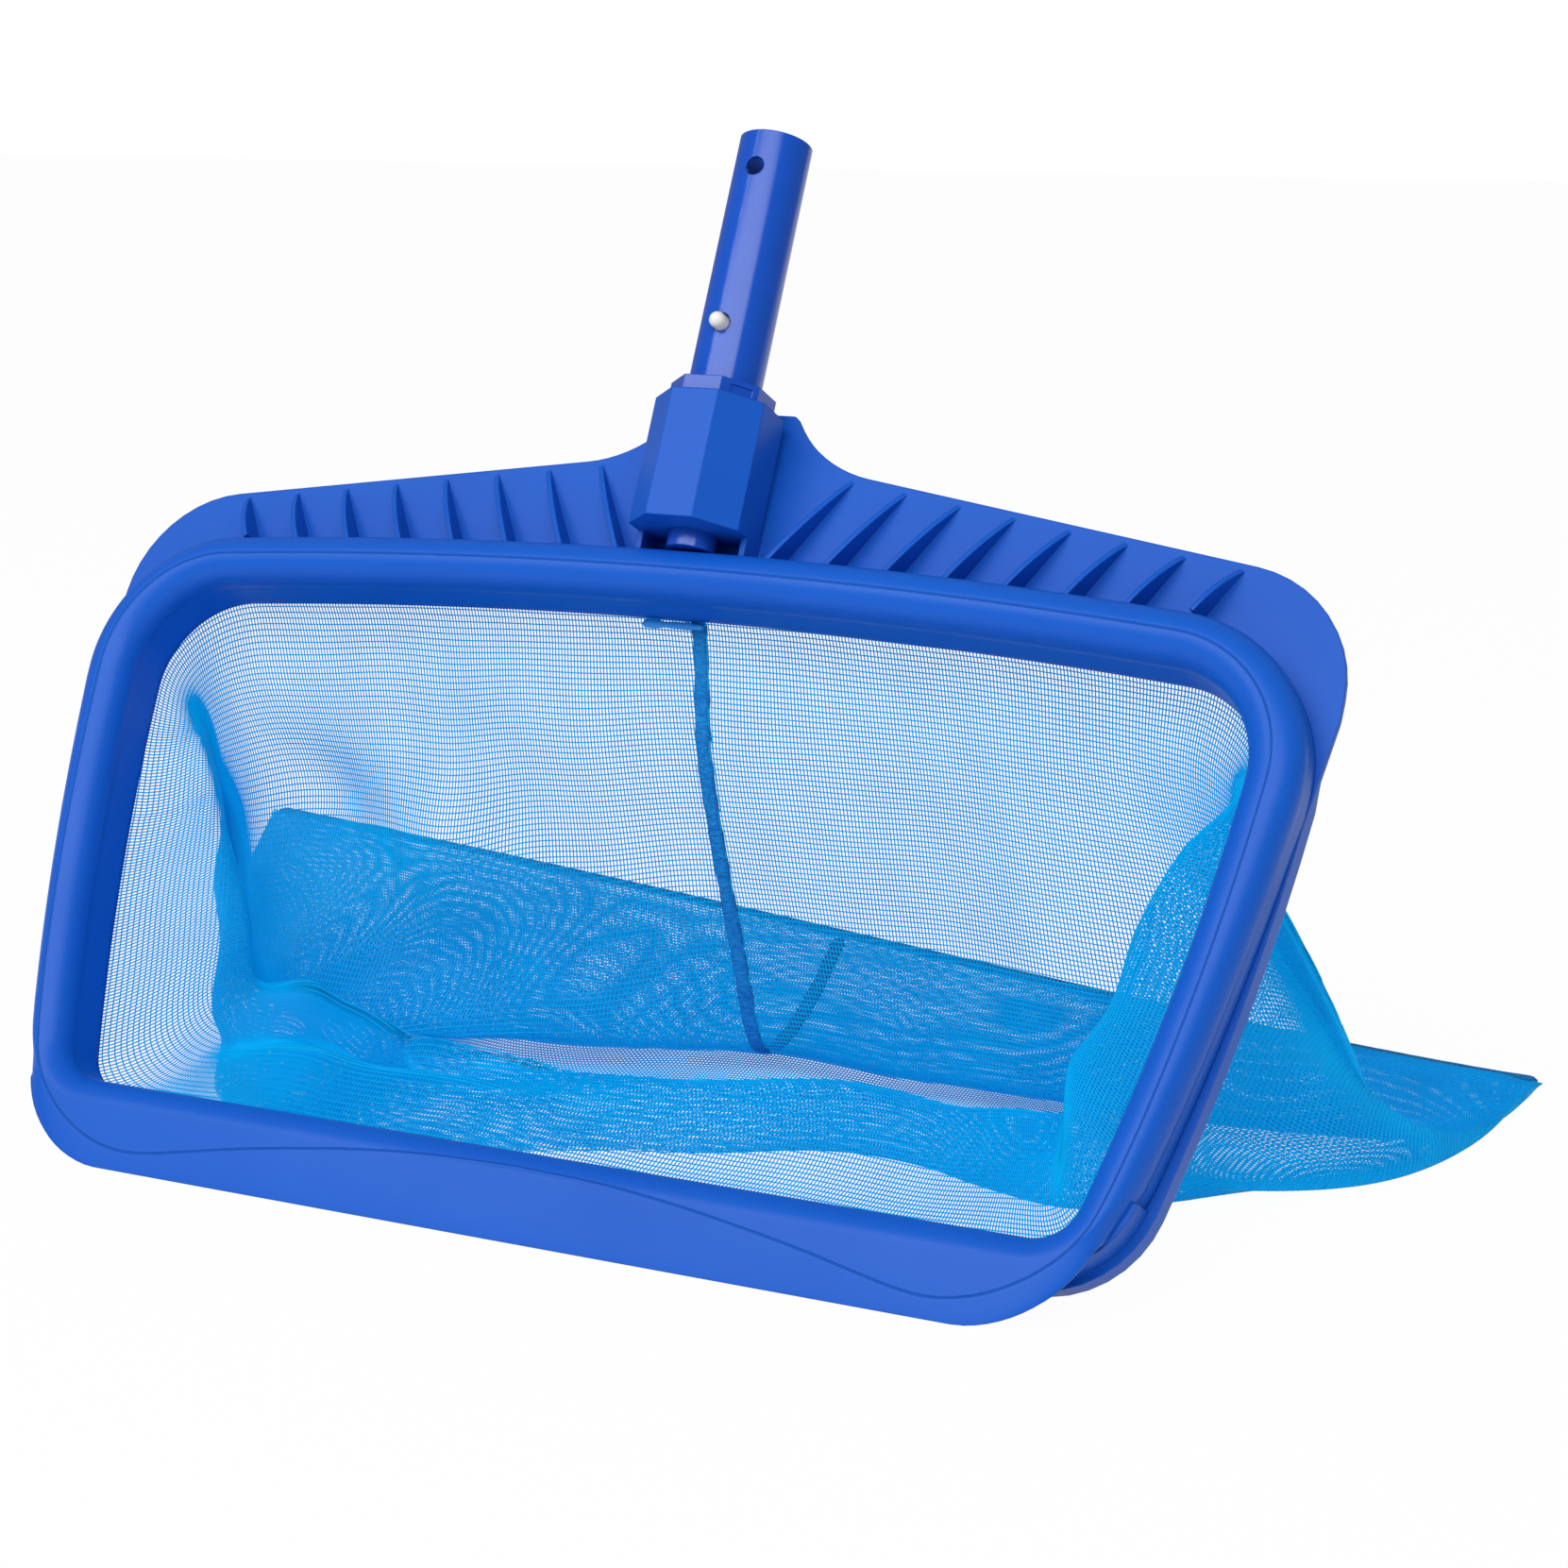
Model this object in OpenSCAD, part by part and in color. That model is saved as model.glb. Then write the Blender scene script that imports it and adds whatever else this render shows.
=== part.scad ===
/* [Frame opening] */
// Lean of the frame back from upright while it stands on its lip
frame_lean = 32.3; // [25:0.1:38]
// Height of the opening at its middle
opening_h = 216.3; // [200:0.1:230]
// Width of the opening between its upper sides, run on to the top line
opening_w_top = 472.2; // [460:0.1:490]
// Width of the opening between its lower sides, run down to the bottom line
opening_w_low = 410.8; // [400:0.1:425]
// Radius of the bowed top bar
top_bow_r = 2320; // [1800:10:3200]
// Radius of the bowed side bars
side_bow_r = 950; // [800:10:1300]
// Radius of the opening's upper corners
opening_r_top = 37.5; // [30:0.5:48]
// Radius of the opening's lower corners
opening_r_low = 17; // [14:0.5:22]

/* [Rolled rim] */
// Width of the rolled rim round the sides and the top
rim_w = 20.5; // [19.5:0.1:24]
// Height of the bottom bar below the opening
bar_h = 15.7; // [14:0.1:17]
// Radius of the rim's lower outer corners
rim_r_low = 42; // [36:0.5:46]
// Radius of the roll from the crest in to the opening
roll_in_r = 10; // [9.5:0.1:10.5]
// Radius of the roll from the crest out to the outer wall
roll_out_r = 10.5; // [10:0.1:11]
// Thickness of the moulded walls
wall = 2.4; // [2:0.1:2.8]
// Depth of the front frame's outer wall behind the crest
front_depth = 21; // [19:0.5:24]
// Depth of the front frame's inner wall behind the crest
inner_depth = 28.3; // [27.5:0.1:30]
// Depth of the rear frame's rim behind the crest
rear_depth = 29.8; // [29:0.1:30]

/* [Lip] */
// Height of the opening's lower edge above the lip's leading edge
lip_h = 34.7; // [33:0.1:38]
// Width of the lip
lip_w = 431; // [428:0.5:434]
// Radius of the lip's lower corners
lip_r = 42.5; // [38:0.5:46]
// Height at which the front frame's skirt ends at the lip, above the lip's edge
skirt_v = 28; // [26:0.5:31]
// Rise of the skirt's lower edge toward the rear
skirt_rise = 31.6; // [24:0.1:36]
// Thickness of the lip where it leaves the bottom bar
lip_t = 3; // [2.6:0.1:3.4]
// Thickness of the lip at its leading edge
lip_edge_t = 1.2; // [1:0.1:1.6]

/* [Flange and ribs] */
// Width of the flange across its shoulders
flange_w = 518; // [516:0.5:524]
// Height of the flange's shoulder line at the side, above the lip's edge
shoulder_v = 281; // [278:0.5:286]
// Slope of the flange's top edge
flange_slope = 8.8; // [8:0.1:9.5]
// Radius of the flange's shoulders
shoulder_r = 48; // [42:0.5:54]
// Height of the neck behind the socket, above the lip's edge
neck_v = 336; // [332:0.5:340]
// Width of the neck at its top
neck_w = 49; // [47:0.5:52]
// Radius of the hollow curve from the neck to the flange
neck_r = 52; // [40:1:60]
// Thickness of the flange
flange_t = 2.6; // [2.2:0.1:3.2]
// Number of ribs on each side
rib_count = 8; // [5:1:8]
// Distance of the innermost rib's top from the middle
rib_x = 54.5; // [50:0.5:60]
// Spacing of the ribs
rib_pitch = 22.7; // [20:0.1:22.8]
// Distance of a rib's top below the flange's edge
rib_drop = 2.6; // [2:0.1:5]
// Slant of the ribs
rib_slant = 30; // [24:1:34]
// Height of the ribs where they meet the rim
rib_h = 11; // [8:0.5:13]
// Thickness of the ribs
rib_t = 1.9; // [1.6:0.1:2.4]

/* [Socket] */
// Lean of the socket forward of the frame's own plane
tube_tilt = 5.6; // [4:0.1:7]
// Height of the socket's lower end, above the lip's edge
sock_v = 278.8; // [277:0.1:282]
// Depth of the socket's axis there behind the crest
sock_d = 9.5; // [8:0.1:11]
// Width of the eight-sided socket across its flats
sock_af = 46.5; // [45:0.1:48]
// Length of the socket
sock_len = 50.9; // [48:0.1:56]
// Thickness of the socket's floor
sock_floor = 3; // [2.5:0.1:4]

/* [Handle] */
// Outer diameter of the handle tube
tube_d = 28.6; // [28:0.1:29.2]
// Bore of the handle tube
tube_bore = 23.8; // [23.4:0.1:24.4]
// Length of the tube above its collar
tube_len = 103; // [96:0.5:120]
// Width of the eight-sided plug across its flats
plug_af = 37.9; // [37:0.1:38.6]
// Height of the collar above the socket
collar_h = 6.9; // [5:0.1:9]
// Diameter of the stub under the plug
stub_d = 19; // [17:0.5:21]
// Diameter of the cross holes
hole_d = 7.7; // [7.4:0.1:8.2]
// Distance of the upper cross hole below the rim
hole_drop = 15.1; // [12:0.1:18]
// Distance between the cross holes
hole_gap = 64.7; // [62:0.1:67]

/* [Spring clip] */
// Diameter of the clip's buttons
button_d = 6.35; // [6:0.05:6.5]
// How far a button sits below the middle of its hole
button_low = 0.3; // [0.2:0.05:0.35]
// How far a button stands out of the tube
button_out = 6.2; // [5.5:0.1:6.5]
// Width of the clip's strip
strip_w = 10; // [8:0.5:10.5]
// Thickness of the clip's strip
strip_t = 1.8; // [1.5:0.1:2]
// Length of an arm from its root to its button
arm_len = 40; // [38:0.5:42]
// Length of an arm past its button
arm_end = 6; // [5:0.5:8]

/* [Net] */
// Thickness of the net's hem in its clamp
hem_t = 1.8; // [1.5:0.1:2]
// Thickness of the bag's wall
net_t = 0.8; // [0.7:0.05:1]
// Width of the bag's rear seam
seam_w = 650; // [640:1:660]
// Distance of the rear seam's right end behind the lip's edge
tail_right_y = 336; // [325:1:350]
// Distance of the rear seam's left end behind the lip's edge
tail_left_y = 379; // [365:1:392]
// Height of the rear seam's left end above the ground
tail_left_z = 38; // [25:1:50]
// Distance of the rear seam's right end from the middle
tail_right_x = 294; // [285:1:300]
// Width of the overlocked seams
overlock_w = 6; // [5:0.5:8]

/* [Screws] */
// Diameter of the frame screws
screw_d = 3; // [2.8:0.1:3.5]
// Diameter of the screws' heads
screw_head_d = 6; // [5.5:0.1:6.5]
// Length of the frame screws under the head
screw_len = 12; // [10:0.5:14]

/* [Hidden] */

clr = 0.2;              // clearance between pieces that are pressed or slipped together
ground_clr = 0.3;       // the bag's underside above the ground
bar_clr = 0.5;          // clearance of the bottom bar's wall inside the front frame's skirt
opening_v = lip_h + opening_h;
rear_web = front_depth + flange_t;
hem_in = wall + clr;
clamp_in = hem_in + hem_t + clr;

function unit(a) = a / norm(a);
function turn(r, a) = [r * cos(a), r * sin(a)];
function mix(a, b, t) = a * (1 - t) + b * t;
function angle_of(a) = atan2(a.y, a.x);

// Meeting point, on the +X side, of a circle about a and a circle about b
function meet(a, ra, b, rb) =
    let (d = norm(b - a), along = (ra * ra - rb * rb + d * d) / (2 * d),
         up = sqrt(ra * ra - along * along), u = (b - a) / d,
         p = a + u * along + [-u.y, u.x] * up, q = a + u * along - [-u.y, u.x] * up)
    p.x > q.x ? p : q;

// Centres of the bowed top and of the bowed right side
top_c = [0, opening_v - top_bow_r];
corner_hi = [opening_w_top / 2, opening_v - pow(opening_w_top / 2, 2) / (2 * top_bow_r)];
corner_lo = [opening_w_low / 2, lip_h];
side_chord = corner_hi - corner_lo;
side_sag = sqrt(side_bow_r * side_bow_r - pow(norm(side_chord) / 2, 2));
side_c = (corner_hi + corner_lo) / 2 + side_sag * [-unit(side_chord).y, unit(side_chord).x];

// An outline of tangent arcs: bowed top, upper corner, bowed side, lower corner and straight base.
// It holds [top radius, side radius, upper corner centre and radius, lower corner centre and radius]
function outline(grow, r_low, base_v) =
    let (rt = top_bow_r + grow, rs = side_bow_r + grow, rc = opening_r_top + grow,
         c1 = meet(top_c, rt - rc, side_c, rs - rc), v = base_v + r_low,
         c2 = [side_c.x + sqrt(pow(rs - r_low, 2) - pow(v - side_c.y, 2)), v])
    [rt, rs, c1, rc, c2, r_low];
opening = outline(0, opening_r_low, lip_h);
outer = outline(rim_w, rim_r_low, lip_h - bar_h);

// Angles where the outline's arcs meet
function top_a(o) = angle_of(o[2] - top_c);
function shoulder_a(o) = angle_of(o[2] - side_c);
function heel_a(o) = angle_of(o[4] - side_c);

// Stations along an arc, each a point and its outward direction
function arc_stations(c, r, from, to, n) =
    [for (k = [0 : n - 1]) let (a = mix(from, to, k / n)) [c + turn(r, a), turn(1, a)]];
// Stations along the right half of an outline, from the top's middle down to its lower corner
function upper_stations(o) = concat(
    arc_stations(top_c, o[0], 90, top_a(o), 8),
    arc_stations(o[2], o[3], top_a(o), shoulder_a(o), 8),
    arc_stations(side_c, o[1], shoulder_a(o), heel_a(o), 8));
// The rest of the right half: lower corner and base
function lower_stations(o) = concat(
    arc_stations(o[4], o[5], heel_a(o), -90, 8),
    [for (k = [0 : 5]) [[o[4].x * (1 - k / 5), o[4].y - o[5]], [0, -1]]]);
function half_stations(o) = concat(upper_stations(o), lower_stations(o));
// Adds the left half to a list of the right half's stations
function mirrored(s) = [for (k = [len(s) - 2 : -1 : 1]) [[-s[k][0].x, s[k][0].y], [-s[k][1].x, s[k][1].y]]];
function whole(s) = concat(s, mirrored(s));

// Flat area inside an outline grown by some width, and the band between two such outlines
module area(o, grow) polygon([for (s = whole(half_stations(o))) s[0] + grow * s[1]]);
module band(o, from, to) difference() {
    area(o, to);
    area(o, from);
}
// Stands a flat shape between two depths behind the crest
module between(d0, d1) translate([0, 0, -d1]) linear_extrude(d1 - d0) children();

// Stands the frame up: flat, its front faces +Z and its top +Y
function stood(x, v, d) =
    [x, v * sin(frame_lean) + d * cos(frame_lean), v * cos(frame_lean) - d * sin(frame_lean)];
tail_left_x = tail_right_x - sqrt(seam_w * seam_w - pow(tail_left_y - tail_right_y, 2) - pow(tail_left_z, 2));
middle_x = (tail_left_x + tail_right_x) / 2;
middle_y = (tail_left_y + overlock_w) / 2;
module placed() translate([-middle_x, -middle_y, 0]) children();
module stand() placed() rotate([90 - frame_lean, 0, 0]) children();

// Points on the rim's middle line, for the screws and their bosses
rim_mid = (rim_w + wall) / 2;
function on_top(x) = let (r = top_bow_r + rim_mid) [x, top_c.y + sqrt(r * r - x * x)];
function on_side(v) = let (r = side_bow_r + rim_mid) [side_c.x + sqrt(r * r - pow(v - side_c.y, 2)), v];
top_screw_x = [70, 170];
side_screw_v = [85, 185];
screw_places = [for (m = [-1, 1], x = top_screw_x) on_top(m * x),
                for (m = [-1, 1], v = side_screw_v) [m * on_side(v).x, v]];
boss_r = screw_d / 2 + 1.7;

// The front moulding is a loft round the opening. At each station its section runs from the opening's wall
// over the crest to the outer wall, and near the base the outer half turns flat into the lip
lip_c = [lip_w / 2 - lip_r, lip_r];
lip_join = meet(lip_c, lip_r, outer[4], rim_r_low);
front_outer = concat(
    upper_stations(outer),
    arc_stations(outer[4], rim_r_low, heel_a(outer), angle_of(lip_join - outer[4]), 4),
    arc_stations(lip_c, lip_r, angle_of(lip_join - lip_c), -90, 5),
    [for (k = [0 : 4]) [[lip_c.x * (1 - k / 4), 0], [0, -1]]]);
front_inner = half_stations(opening);
upper_n = len(upper_stations(outer));
// How far a station has turned from rolled rim, 0, to flat lip, 1
function lip_share(k) = let (t = max(0, min(1, (k - upper_n) / 5))) t * t * (3 - 2 * t);

arc_n = 6;
function front_section(inn, out, share) =
    let (crest = inn[0] + roll_in_r * inn[1], edge = out[0], inset = out[0] - wall * out[1],
         r_z = mix(roll_out_r, 0.4, share),
         skirt = max(r_z + 0.4, min(front_depth, (edge.y - skirt_v) / tan(skirt_rise))),
         low = mix(skirt, lip_edge_t, share), under0 = mix(wall, lip_t, share),
         under1 = mix(roll_out_r, lip_edge_t + 0.15, share), inner_r = roll_in_r - wall)
    concat(
        [[inn[0], inner_depth]],
        [for (k = [0 : arc_n - 1]) let (a = 90 * k / arc_n)
            [inn[0] + roll_in_r * (1 - cos(a)) * inn[1], roll_in_r * (1 - sin(a))]],
        [for (k = [0 : arc_n]) let (a = 90 * k / arc_n) [mix(crest, edge, sin(a)), r_z * (1 - cos(a))]],
        [[edge, low], [inset, low]],
        [for (k = [arc_n : -1 : 0]) let (a = 90 * k / arc_n)
            [mix(crest, inset, sin(a)), mix(under0, under1, 1 - cos(a))]],
        [for (k = [arc_n - 1 : -1 : 0]) let (a = 90 * k / arc_n)
            [inn[0] + (wall + inner_r * (1 - cos(a))) * inn[1], roll_in_r - inner_r * sin(a)]],
        [[inn[0] + wall * inn[1], inner_depth]]);
// Faces of a loft of closed rings, joined round from the last ring to the first
function ring_faces(rings, n) = [for (j = [0 : rings - 1], i = [0 : n - 1])
    let (a = j * n, b = ((j + 1) % rings) * n, m = (i + 1) % n)
    each [[a + i, b + m, b + i], [a + i, a + m, b + m]]];

module front_shell() {
    half_n = len(front_inner) - 1;
    right = [for (k = [0 : half_n]) front_section(front_inner[k], front_outer[k], lip_share(k))];
    left = [for (k = [half_n - 1 : -1 : 1]) [for (p = right[k]) [[-p[0].x, p[0].y], p[1]]]];
    rings = concat(right, left);
    // The lip's edge is cut flat along the ground
    points = [for (r = rings, p = r) [p[0].x, max(p[0].y, p[1] * tan(frame_lean)), -p[1]]];
    polyhedron(points, ring_faces(len(rings), len(rings[0])));
}

module front_frame() {
    color("royalblue") stand() difference() {
        union() {
            front_shell();
            for (p = screw_places) translate([p.x, p.y, -front_depth])
                cylinder(r = boss_r, h = front_depth - wall / 2, $fn = 32);
        }
        for (p = screw_places) translate([p.x, p.y, -front_depth - 1])
            cylinder(d = screw_d + clr, h = screw_len, $fn = 32);
    }
}

// Rounds the corners of a path: each point is [x, y, radius]
function rounded(p, steps) = [for (i = [1 : len(p) - 2])
    let (b = [p[i].x, p[i].y], u = unit([p[i - 1].x, p[i - 1].y] - b), w = unit([p[i + 1].x, p[i + 1].y] - b),
         half = acos(u * w) / 2, r = p[i].z, c = b + unit(u + w) * r / sin(half),
         from = angle_of(b + u * r / tan(half) - c), to = angle_of(b + w * r / tan(half) - c),
         sweep = to - from + (to - from > 180 ? -360 : to - from < -180 ? 360 : 0))
    for (k = [0 : steps]) c + turn(r, from + sweep * k / steps)];

// Right half of the flange's edge, from the middle of the neck down to the side bar
fall = tan(flange_slope);
edge_v = shoulder_v + fall * flange_w / 2;
function flange_top(x) = edge_v - fall * x;
neck_foot = neck_w / 2 + (neck_v - flange_top(neck_w / 2)) * 0.72;
side_top_v = 185;
side_end_v = 170;
turn_v = 232;
turn_r = 30;
flange_edge = rounded([[0, neck_v, 0], [neck_w / 2, neck_v, 3], [neck_foot, flange_top(neck_foot), neck_r],
                       [flange_w / 2, shoulder_v, shoulder_r], [flange_w / 2, turn_v, turn_r],
                       [on_side(side_top_v).x + rim_w / 2 - 1.5, side_top_v, 0.1],
                       [on_side(side_top_v).x, side_end_v, 0]], 10);
// The flange runs down inside the rear frame's own web, along the rim's middle line
function rim_line(o, grow) = concat(
    [for (k = [0 : 8]) side_c + turn(o[1] + grow, mix(heel_a(o) + 6, shoulder_a(o), k / 8))],
    [for (k = [0 : 8]) o[2] + turn(o[3] + grow, mix(shoulder_a(o), top_a(o), k / 8))],
    [for (k = [1 : 12]) top_c + turn(o[0] + grow, mix(top_a(o), 90, k / 12))]);
flange_half = concat([[0, neck_v]], flange_edge,
                     [for (p = rim_line(opening, rim_w / 2))
                      if (p.y > side_end_v + 2 || p.x < opening[2].x - 16) p]);
module flange() {
    for (m = [0, 1]) mirror([m, 0, 0])
        translate([0, 0, -rear_web]) linear_extrude(flange_t) polygon(flange_half);
}

// One slanted gusset: it rises from the flange near the edge and meets the rim at its full height
module rib(x) {
    run = (flange_top(x) - rib_drop - top_c.y - outer[0]) / cos(rib_slant) + 8;
    crest = [for (k = [0 : 8]) [run * k / 8, rib_h * pow(sin(90 * k / 8), 0.8)]];
    translate([x, flange_top(x) - rib_drop, -front_depth]) rotate([0, 0, 270 - rib_slant]) rotate([90, 0, 0])
        linear_extrude(rib_t, center = true)
            polygon(concat([[0, -flange_t / 2]], crest, [[run, -flange_t / 2]]));
}
module ribs() {
    for (m = [0, 1], i = [0 : rib_count - 1]) mirror([m, 0, 0]) rib(rib_x + rib_pitch * i);
}

// Frame of the socket and handle: +Z up along the tube, -Y to the front
module on_socket() translate([0, sock_v, -sock_d]) rotate([tube_tilt - 90, 0, 0]) children();
module eight_sided(af, h) rotate([0, 0, 22.5]) cylinder(d = af / cos(22.5), h = h, $fn = 8);

module socket_body() {
    eight_sided(sock_af, sock_len);
    // Cheeks that carry the socket down to the rim, either side of the notch
    for (s = [-1, 1]) translate([s * (sock_af - wall) / 2 - wall / 2, -1, -12])
        cube([wall, front_depth - sock_d + 2, 14]);
}
module socket_hollow() {
    translate([0, 0, sock_floor]) eight_sided(plug_af + 2 * clr, sock_len + collar_h);
    translate([0, 0, -1]) cylinder(d = stub_d + 2 * clr, h = sock_floor + 2, $fn = 64);
}

module rear_frame() {
    low_end = opening[4].y;
    color("royalblue") stand() difference() {
        union() {
            // Web behind the front frame
            between(front_depth, rear_web) difference() {
                area(outer, 0);
                area(opening, clamp_in);
            }
            // Wall that clamps the net's hem
            between(roll_in_r - 1, inner_depth - 1) band(opening, clamp_in, clamp_in + wall);
            // Raised rim along the outer wall
            between(front_depth, rear_depth) band(outer, -wall, 0);
            // Wall that closes the bottom bar behind the lip, inside the front frame's skirt
            between(roll_in_r - 2, rear_web) intersection() {
                band(outer, -2 * wall - bar_clr, -wall - bar_clr);
                translate([-lip_w, 0]) square([2 * lip_w, low_end]);
            }
            flange();
            difference() {
                union() {
                    ribs();
                    on_socket() socket_body();
                }
                // They stop at the front frame's outer wall
                between(-front_depth, front_depth) area(outer, clr);
            }
        }
        on_socket() socket_hollow();
        for (p = screw_places) translate([p.x, p.y, -rear_depth])
            cylinder(d = screw_d + 2 * clr, h = rear_depth, $fn = 32);
    }
}

module frame_screws() {
    head_h = 2.2;
    color("silver") stand() for (p = screw_places) translate([p.x, p.y, -rear_web]) {
        translate([0, 0, -head_h]) cylinder(d = screw_head_d, h = head_h, $fn = 32);
        cylinder(d = screw_d, h = screw_len, $fn = 32);
    }
}

// Heights along the handle, from the socket's lower end
collar_z = sock_len + collar_h;
rim_z = collar_z + tube_len;
upper_hole_z = rim_z - hole_drop;
lower_hole_z = upper_hole_z - hole_gap;
button_z = lower_hole_z - button_low;
root_z = button_z - arm_len;
arm_y = sqrt(pow(tube_bore / 2, 2) - pow(strip_w / 2, 2)) - 0.4 - strip_t / 2;
bend_r = arm_y;
bend_z = root_z - strip_t / 2 - 0.15;
bore_z = bend_z - bend_r - strip_t / 2 - 0.1;
stub_len = sock_v - (opening_v + rim_w) - 0.5;

module handle() {
    color("mediumblue") stand() on_socket() difference() {
        union() {
            translate([0, 0, sock_floor + clr]) eight_sided(plug_af, collar_z - sock_floor - clr);
            cylinder(d = tube_d, h = rim_z, $fn = 96);
            translate([0, 0, -stub_len]) cylinder(d = stub_d, h = stub_len + 2 * sock_floor, $fn = 64);
        }
        difference() {
            translate([0, 0, -stub_len - 1])
                cylinder(d = 2 * tube_d, h = stub_len + sock_floor + clr + 1, $fn = 64);
            translate([0, 0, -stub_len - 2]) cylinder(d = stub_d, h = stub_len + 3 * sock_floor, $fn = 64);
        }
        translate([0, 0, bore_z]) cylinder(d = tube_bore, h = rim_z, $fn = 96);
        for (z = [upper_hole_z, lower_hole_z]) translate([0, tube_d, z]) rotate([90, 0, 0])
            cylinder(d = hole_d, h = 2 * tube_d, $fn = 64);
        // Small catch recess in the collar's front right face
        rotate([0, 0, 45]) translate([-3.5, -plug_af / 2 - 1, collar_z - 5]) cube([9, 1.6, 3]);
    }
}

// The clip's U bend, seated across the bore, ending just under the two arm roots
module clip_bend() {
    color("white") stand() on_socket() translate([0, 0, bend_z]) intersection() {
        rotate([0, 90, 0]) difference() {
            cylinder(r = bend_r + strip_t / 2, h = strip_w, center = true, $fn = 64);
            cylinder(r = bend_r - strip_t / 2, h = strip_w + 2, center = true, $fn = 64);
        }
        translate([-strip_w, -tube_bore, -tube_bore]) cube([2 * strip_w, 2 * tube_bore, tube_bore]);
    }
}

// One arm, standing on its round root, with its button through the tube's wall on the -Y side
module clip_arm() {
    button_r = button_d / 2;
    reach = tube_d / 2 + button_out;
    translate([0, -arm_y, root_z]) {
        rotate([0, 90, 0]) cylinder(d = strip_t, h = strip_w, center = true, $fn = 32);
        translate([-strip_w / 2, -strip_t / 2, 0]) cube([strip_w, strip_t, arm_len + arm_end]);
    }
    translate([0, -arm_y, button_z]) rotate([90, 0, 0])
        cylinder(r = button_r, h = reach - arm_y - button_r, $fn = 48);
    translate([0, -reach + button_r, button_z]) sphere(r = button_r, $fn = 48);
}
module clip_arm_front() color("white") stand() on_socket() clip_arm();
module clip_arm_rear() color("white") stand() on_socket() rotate([0, 0, 180]) clip_arm();

module net_hem() {
    color("deepskyblue") stand() between(roll_in_r + clr, inner_depth) band(opening, hem_in, hem_in + hem_t);
}

// Right half of the bag's mouth, from the top middle to the bottom middle, as [x, v, outward x, outward v]
mouth_grow = hem_in + hem_t / 2 + net_t / 2;
mouth_half = [for (s = half_stations(opening)) concat(s[0] + mouth_grow * s[1], s[1])];
half_n = len(mouth_half);
mouth = concat(mouth_half,
               [for (k = [half_n - 2 : -1 : 1]) let (p = mouth_half[k]) [-p[0], p[1], -p[2], p[3]]]);
mouth_n = len(mouth);
function mouth_xy(k) = [mouth[k][0], mouth[k][1]];
function run_to(k) = k == 0 ? 0 : run_to(k - 1) + norm(mouth_xy(k) - mouth_xy(k - 1));
half_run = run_to(half_n - 1);
// Place across the rear seam, from 0 at the middle to 1 at the tip, and side of the bag, 1 above and -1 below
function half_share(k) = run_to(k <= half_n - 1 ? k : mouth_n - k) / half_run;
function seam_share(k) = let (s = half_share(k)) (k <= half_n - 1 ? 1 : -1) * (1 - abs(1 - 2 * s));
function layer(k) = let (s = half_share(k)) s < 0.5 ? 1 : -1;
seam_gap = 0.5;
seam_h = 2 * net_t + seam_gap;
tail_right = [tail_right_x, tail_right_y, ground_clr + seam_h / 2];
tail_left = [tail_left_x, tail_left_y, ground_clr + seam_h / 2 + tail_left_z];
// The rear seam sags from its raised left end to the ground
function seam_at(t) = let (p = mix(tail_left, tail_right, t))
    [p.x, p.y, tail_right.z + tail_left_z * pow(1 - t, 0.9) * (1 - pow(t, 3))];

// The bag's path from the mouth to the seam: the upper side hangs down, the lower side lies on the ground
low_turn_y = 200;
hang_run = 62;
slack_h = 12;
hang_h = 185;
function bag_path(k) =
    let (m = mouth[k], p0 = stood(m[0], m[1], inner_depth + 0.05), share = seam_share(k),
         end = seam_at((1 + share) / 2) + [0, 0, layer(k) * seam_h / 2],
         high = max(0, p0.z - slack_h) / hang_h)
    [p0,
     [mix(p0.x, end.x, 0.22), p0.y + 20 + 6 * high, mix(3, 0.42 * p0.z, min(1, high * 3))],
     [mix(p0.x, end.x, 0.85), mix(low_turn_y, p0.y + hang_run, high),
      mix(end.z * 0.6 + 0.6, slack_h + 8 * high, high)],
     end];
function bezier(p, t) =
    p[0] * pow(1 - t, 3) + p[1] * 3 * t * pow(1 - t, 2) + p[2] * 3 * t * t * (1 - t) + p[3] * pow(t, 3);
rows = 10;
function outer_point(k, s) = let (p = bezier(bag_path(k), s)) [p.x, p.y, max(p.z, ground_clr)];
function inward(k, s) =
    let (m = mouth[k], up = layer(k), tip = 1 - min(1, abs(1 - abs(seam_share(k))) * 12),
         at_mouth = -[m[2], m[3] * sin(frame_lean), m[3] * cos(frame_lean)],
         at_tail = [-sign(m[0]) * 3 * tip, 0, -up * (1 - 0.9 * tip)])
    mix(at_mouth, at_tail, min(1, 1.6 * s * s * (3 - 2 * s)));
function inner_point(k, s) = outer_point(k, s) + net_t * inward(k, s);

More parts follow.
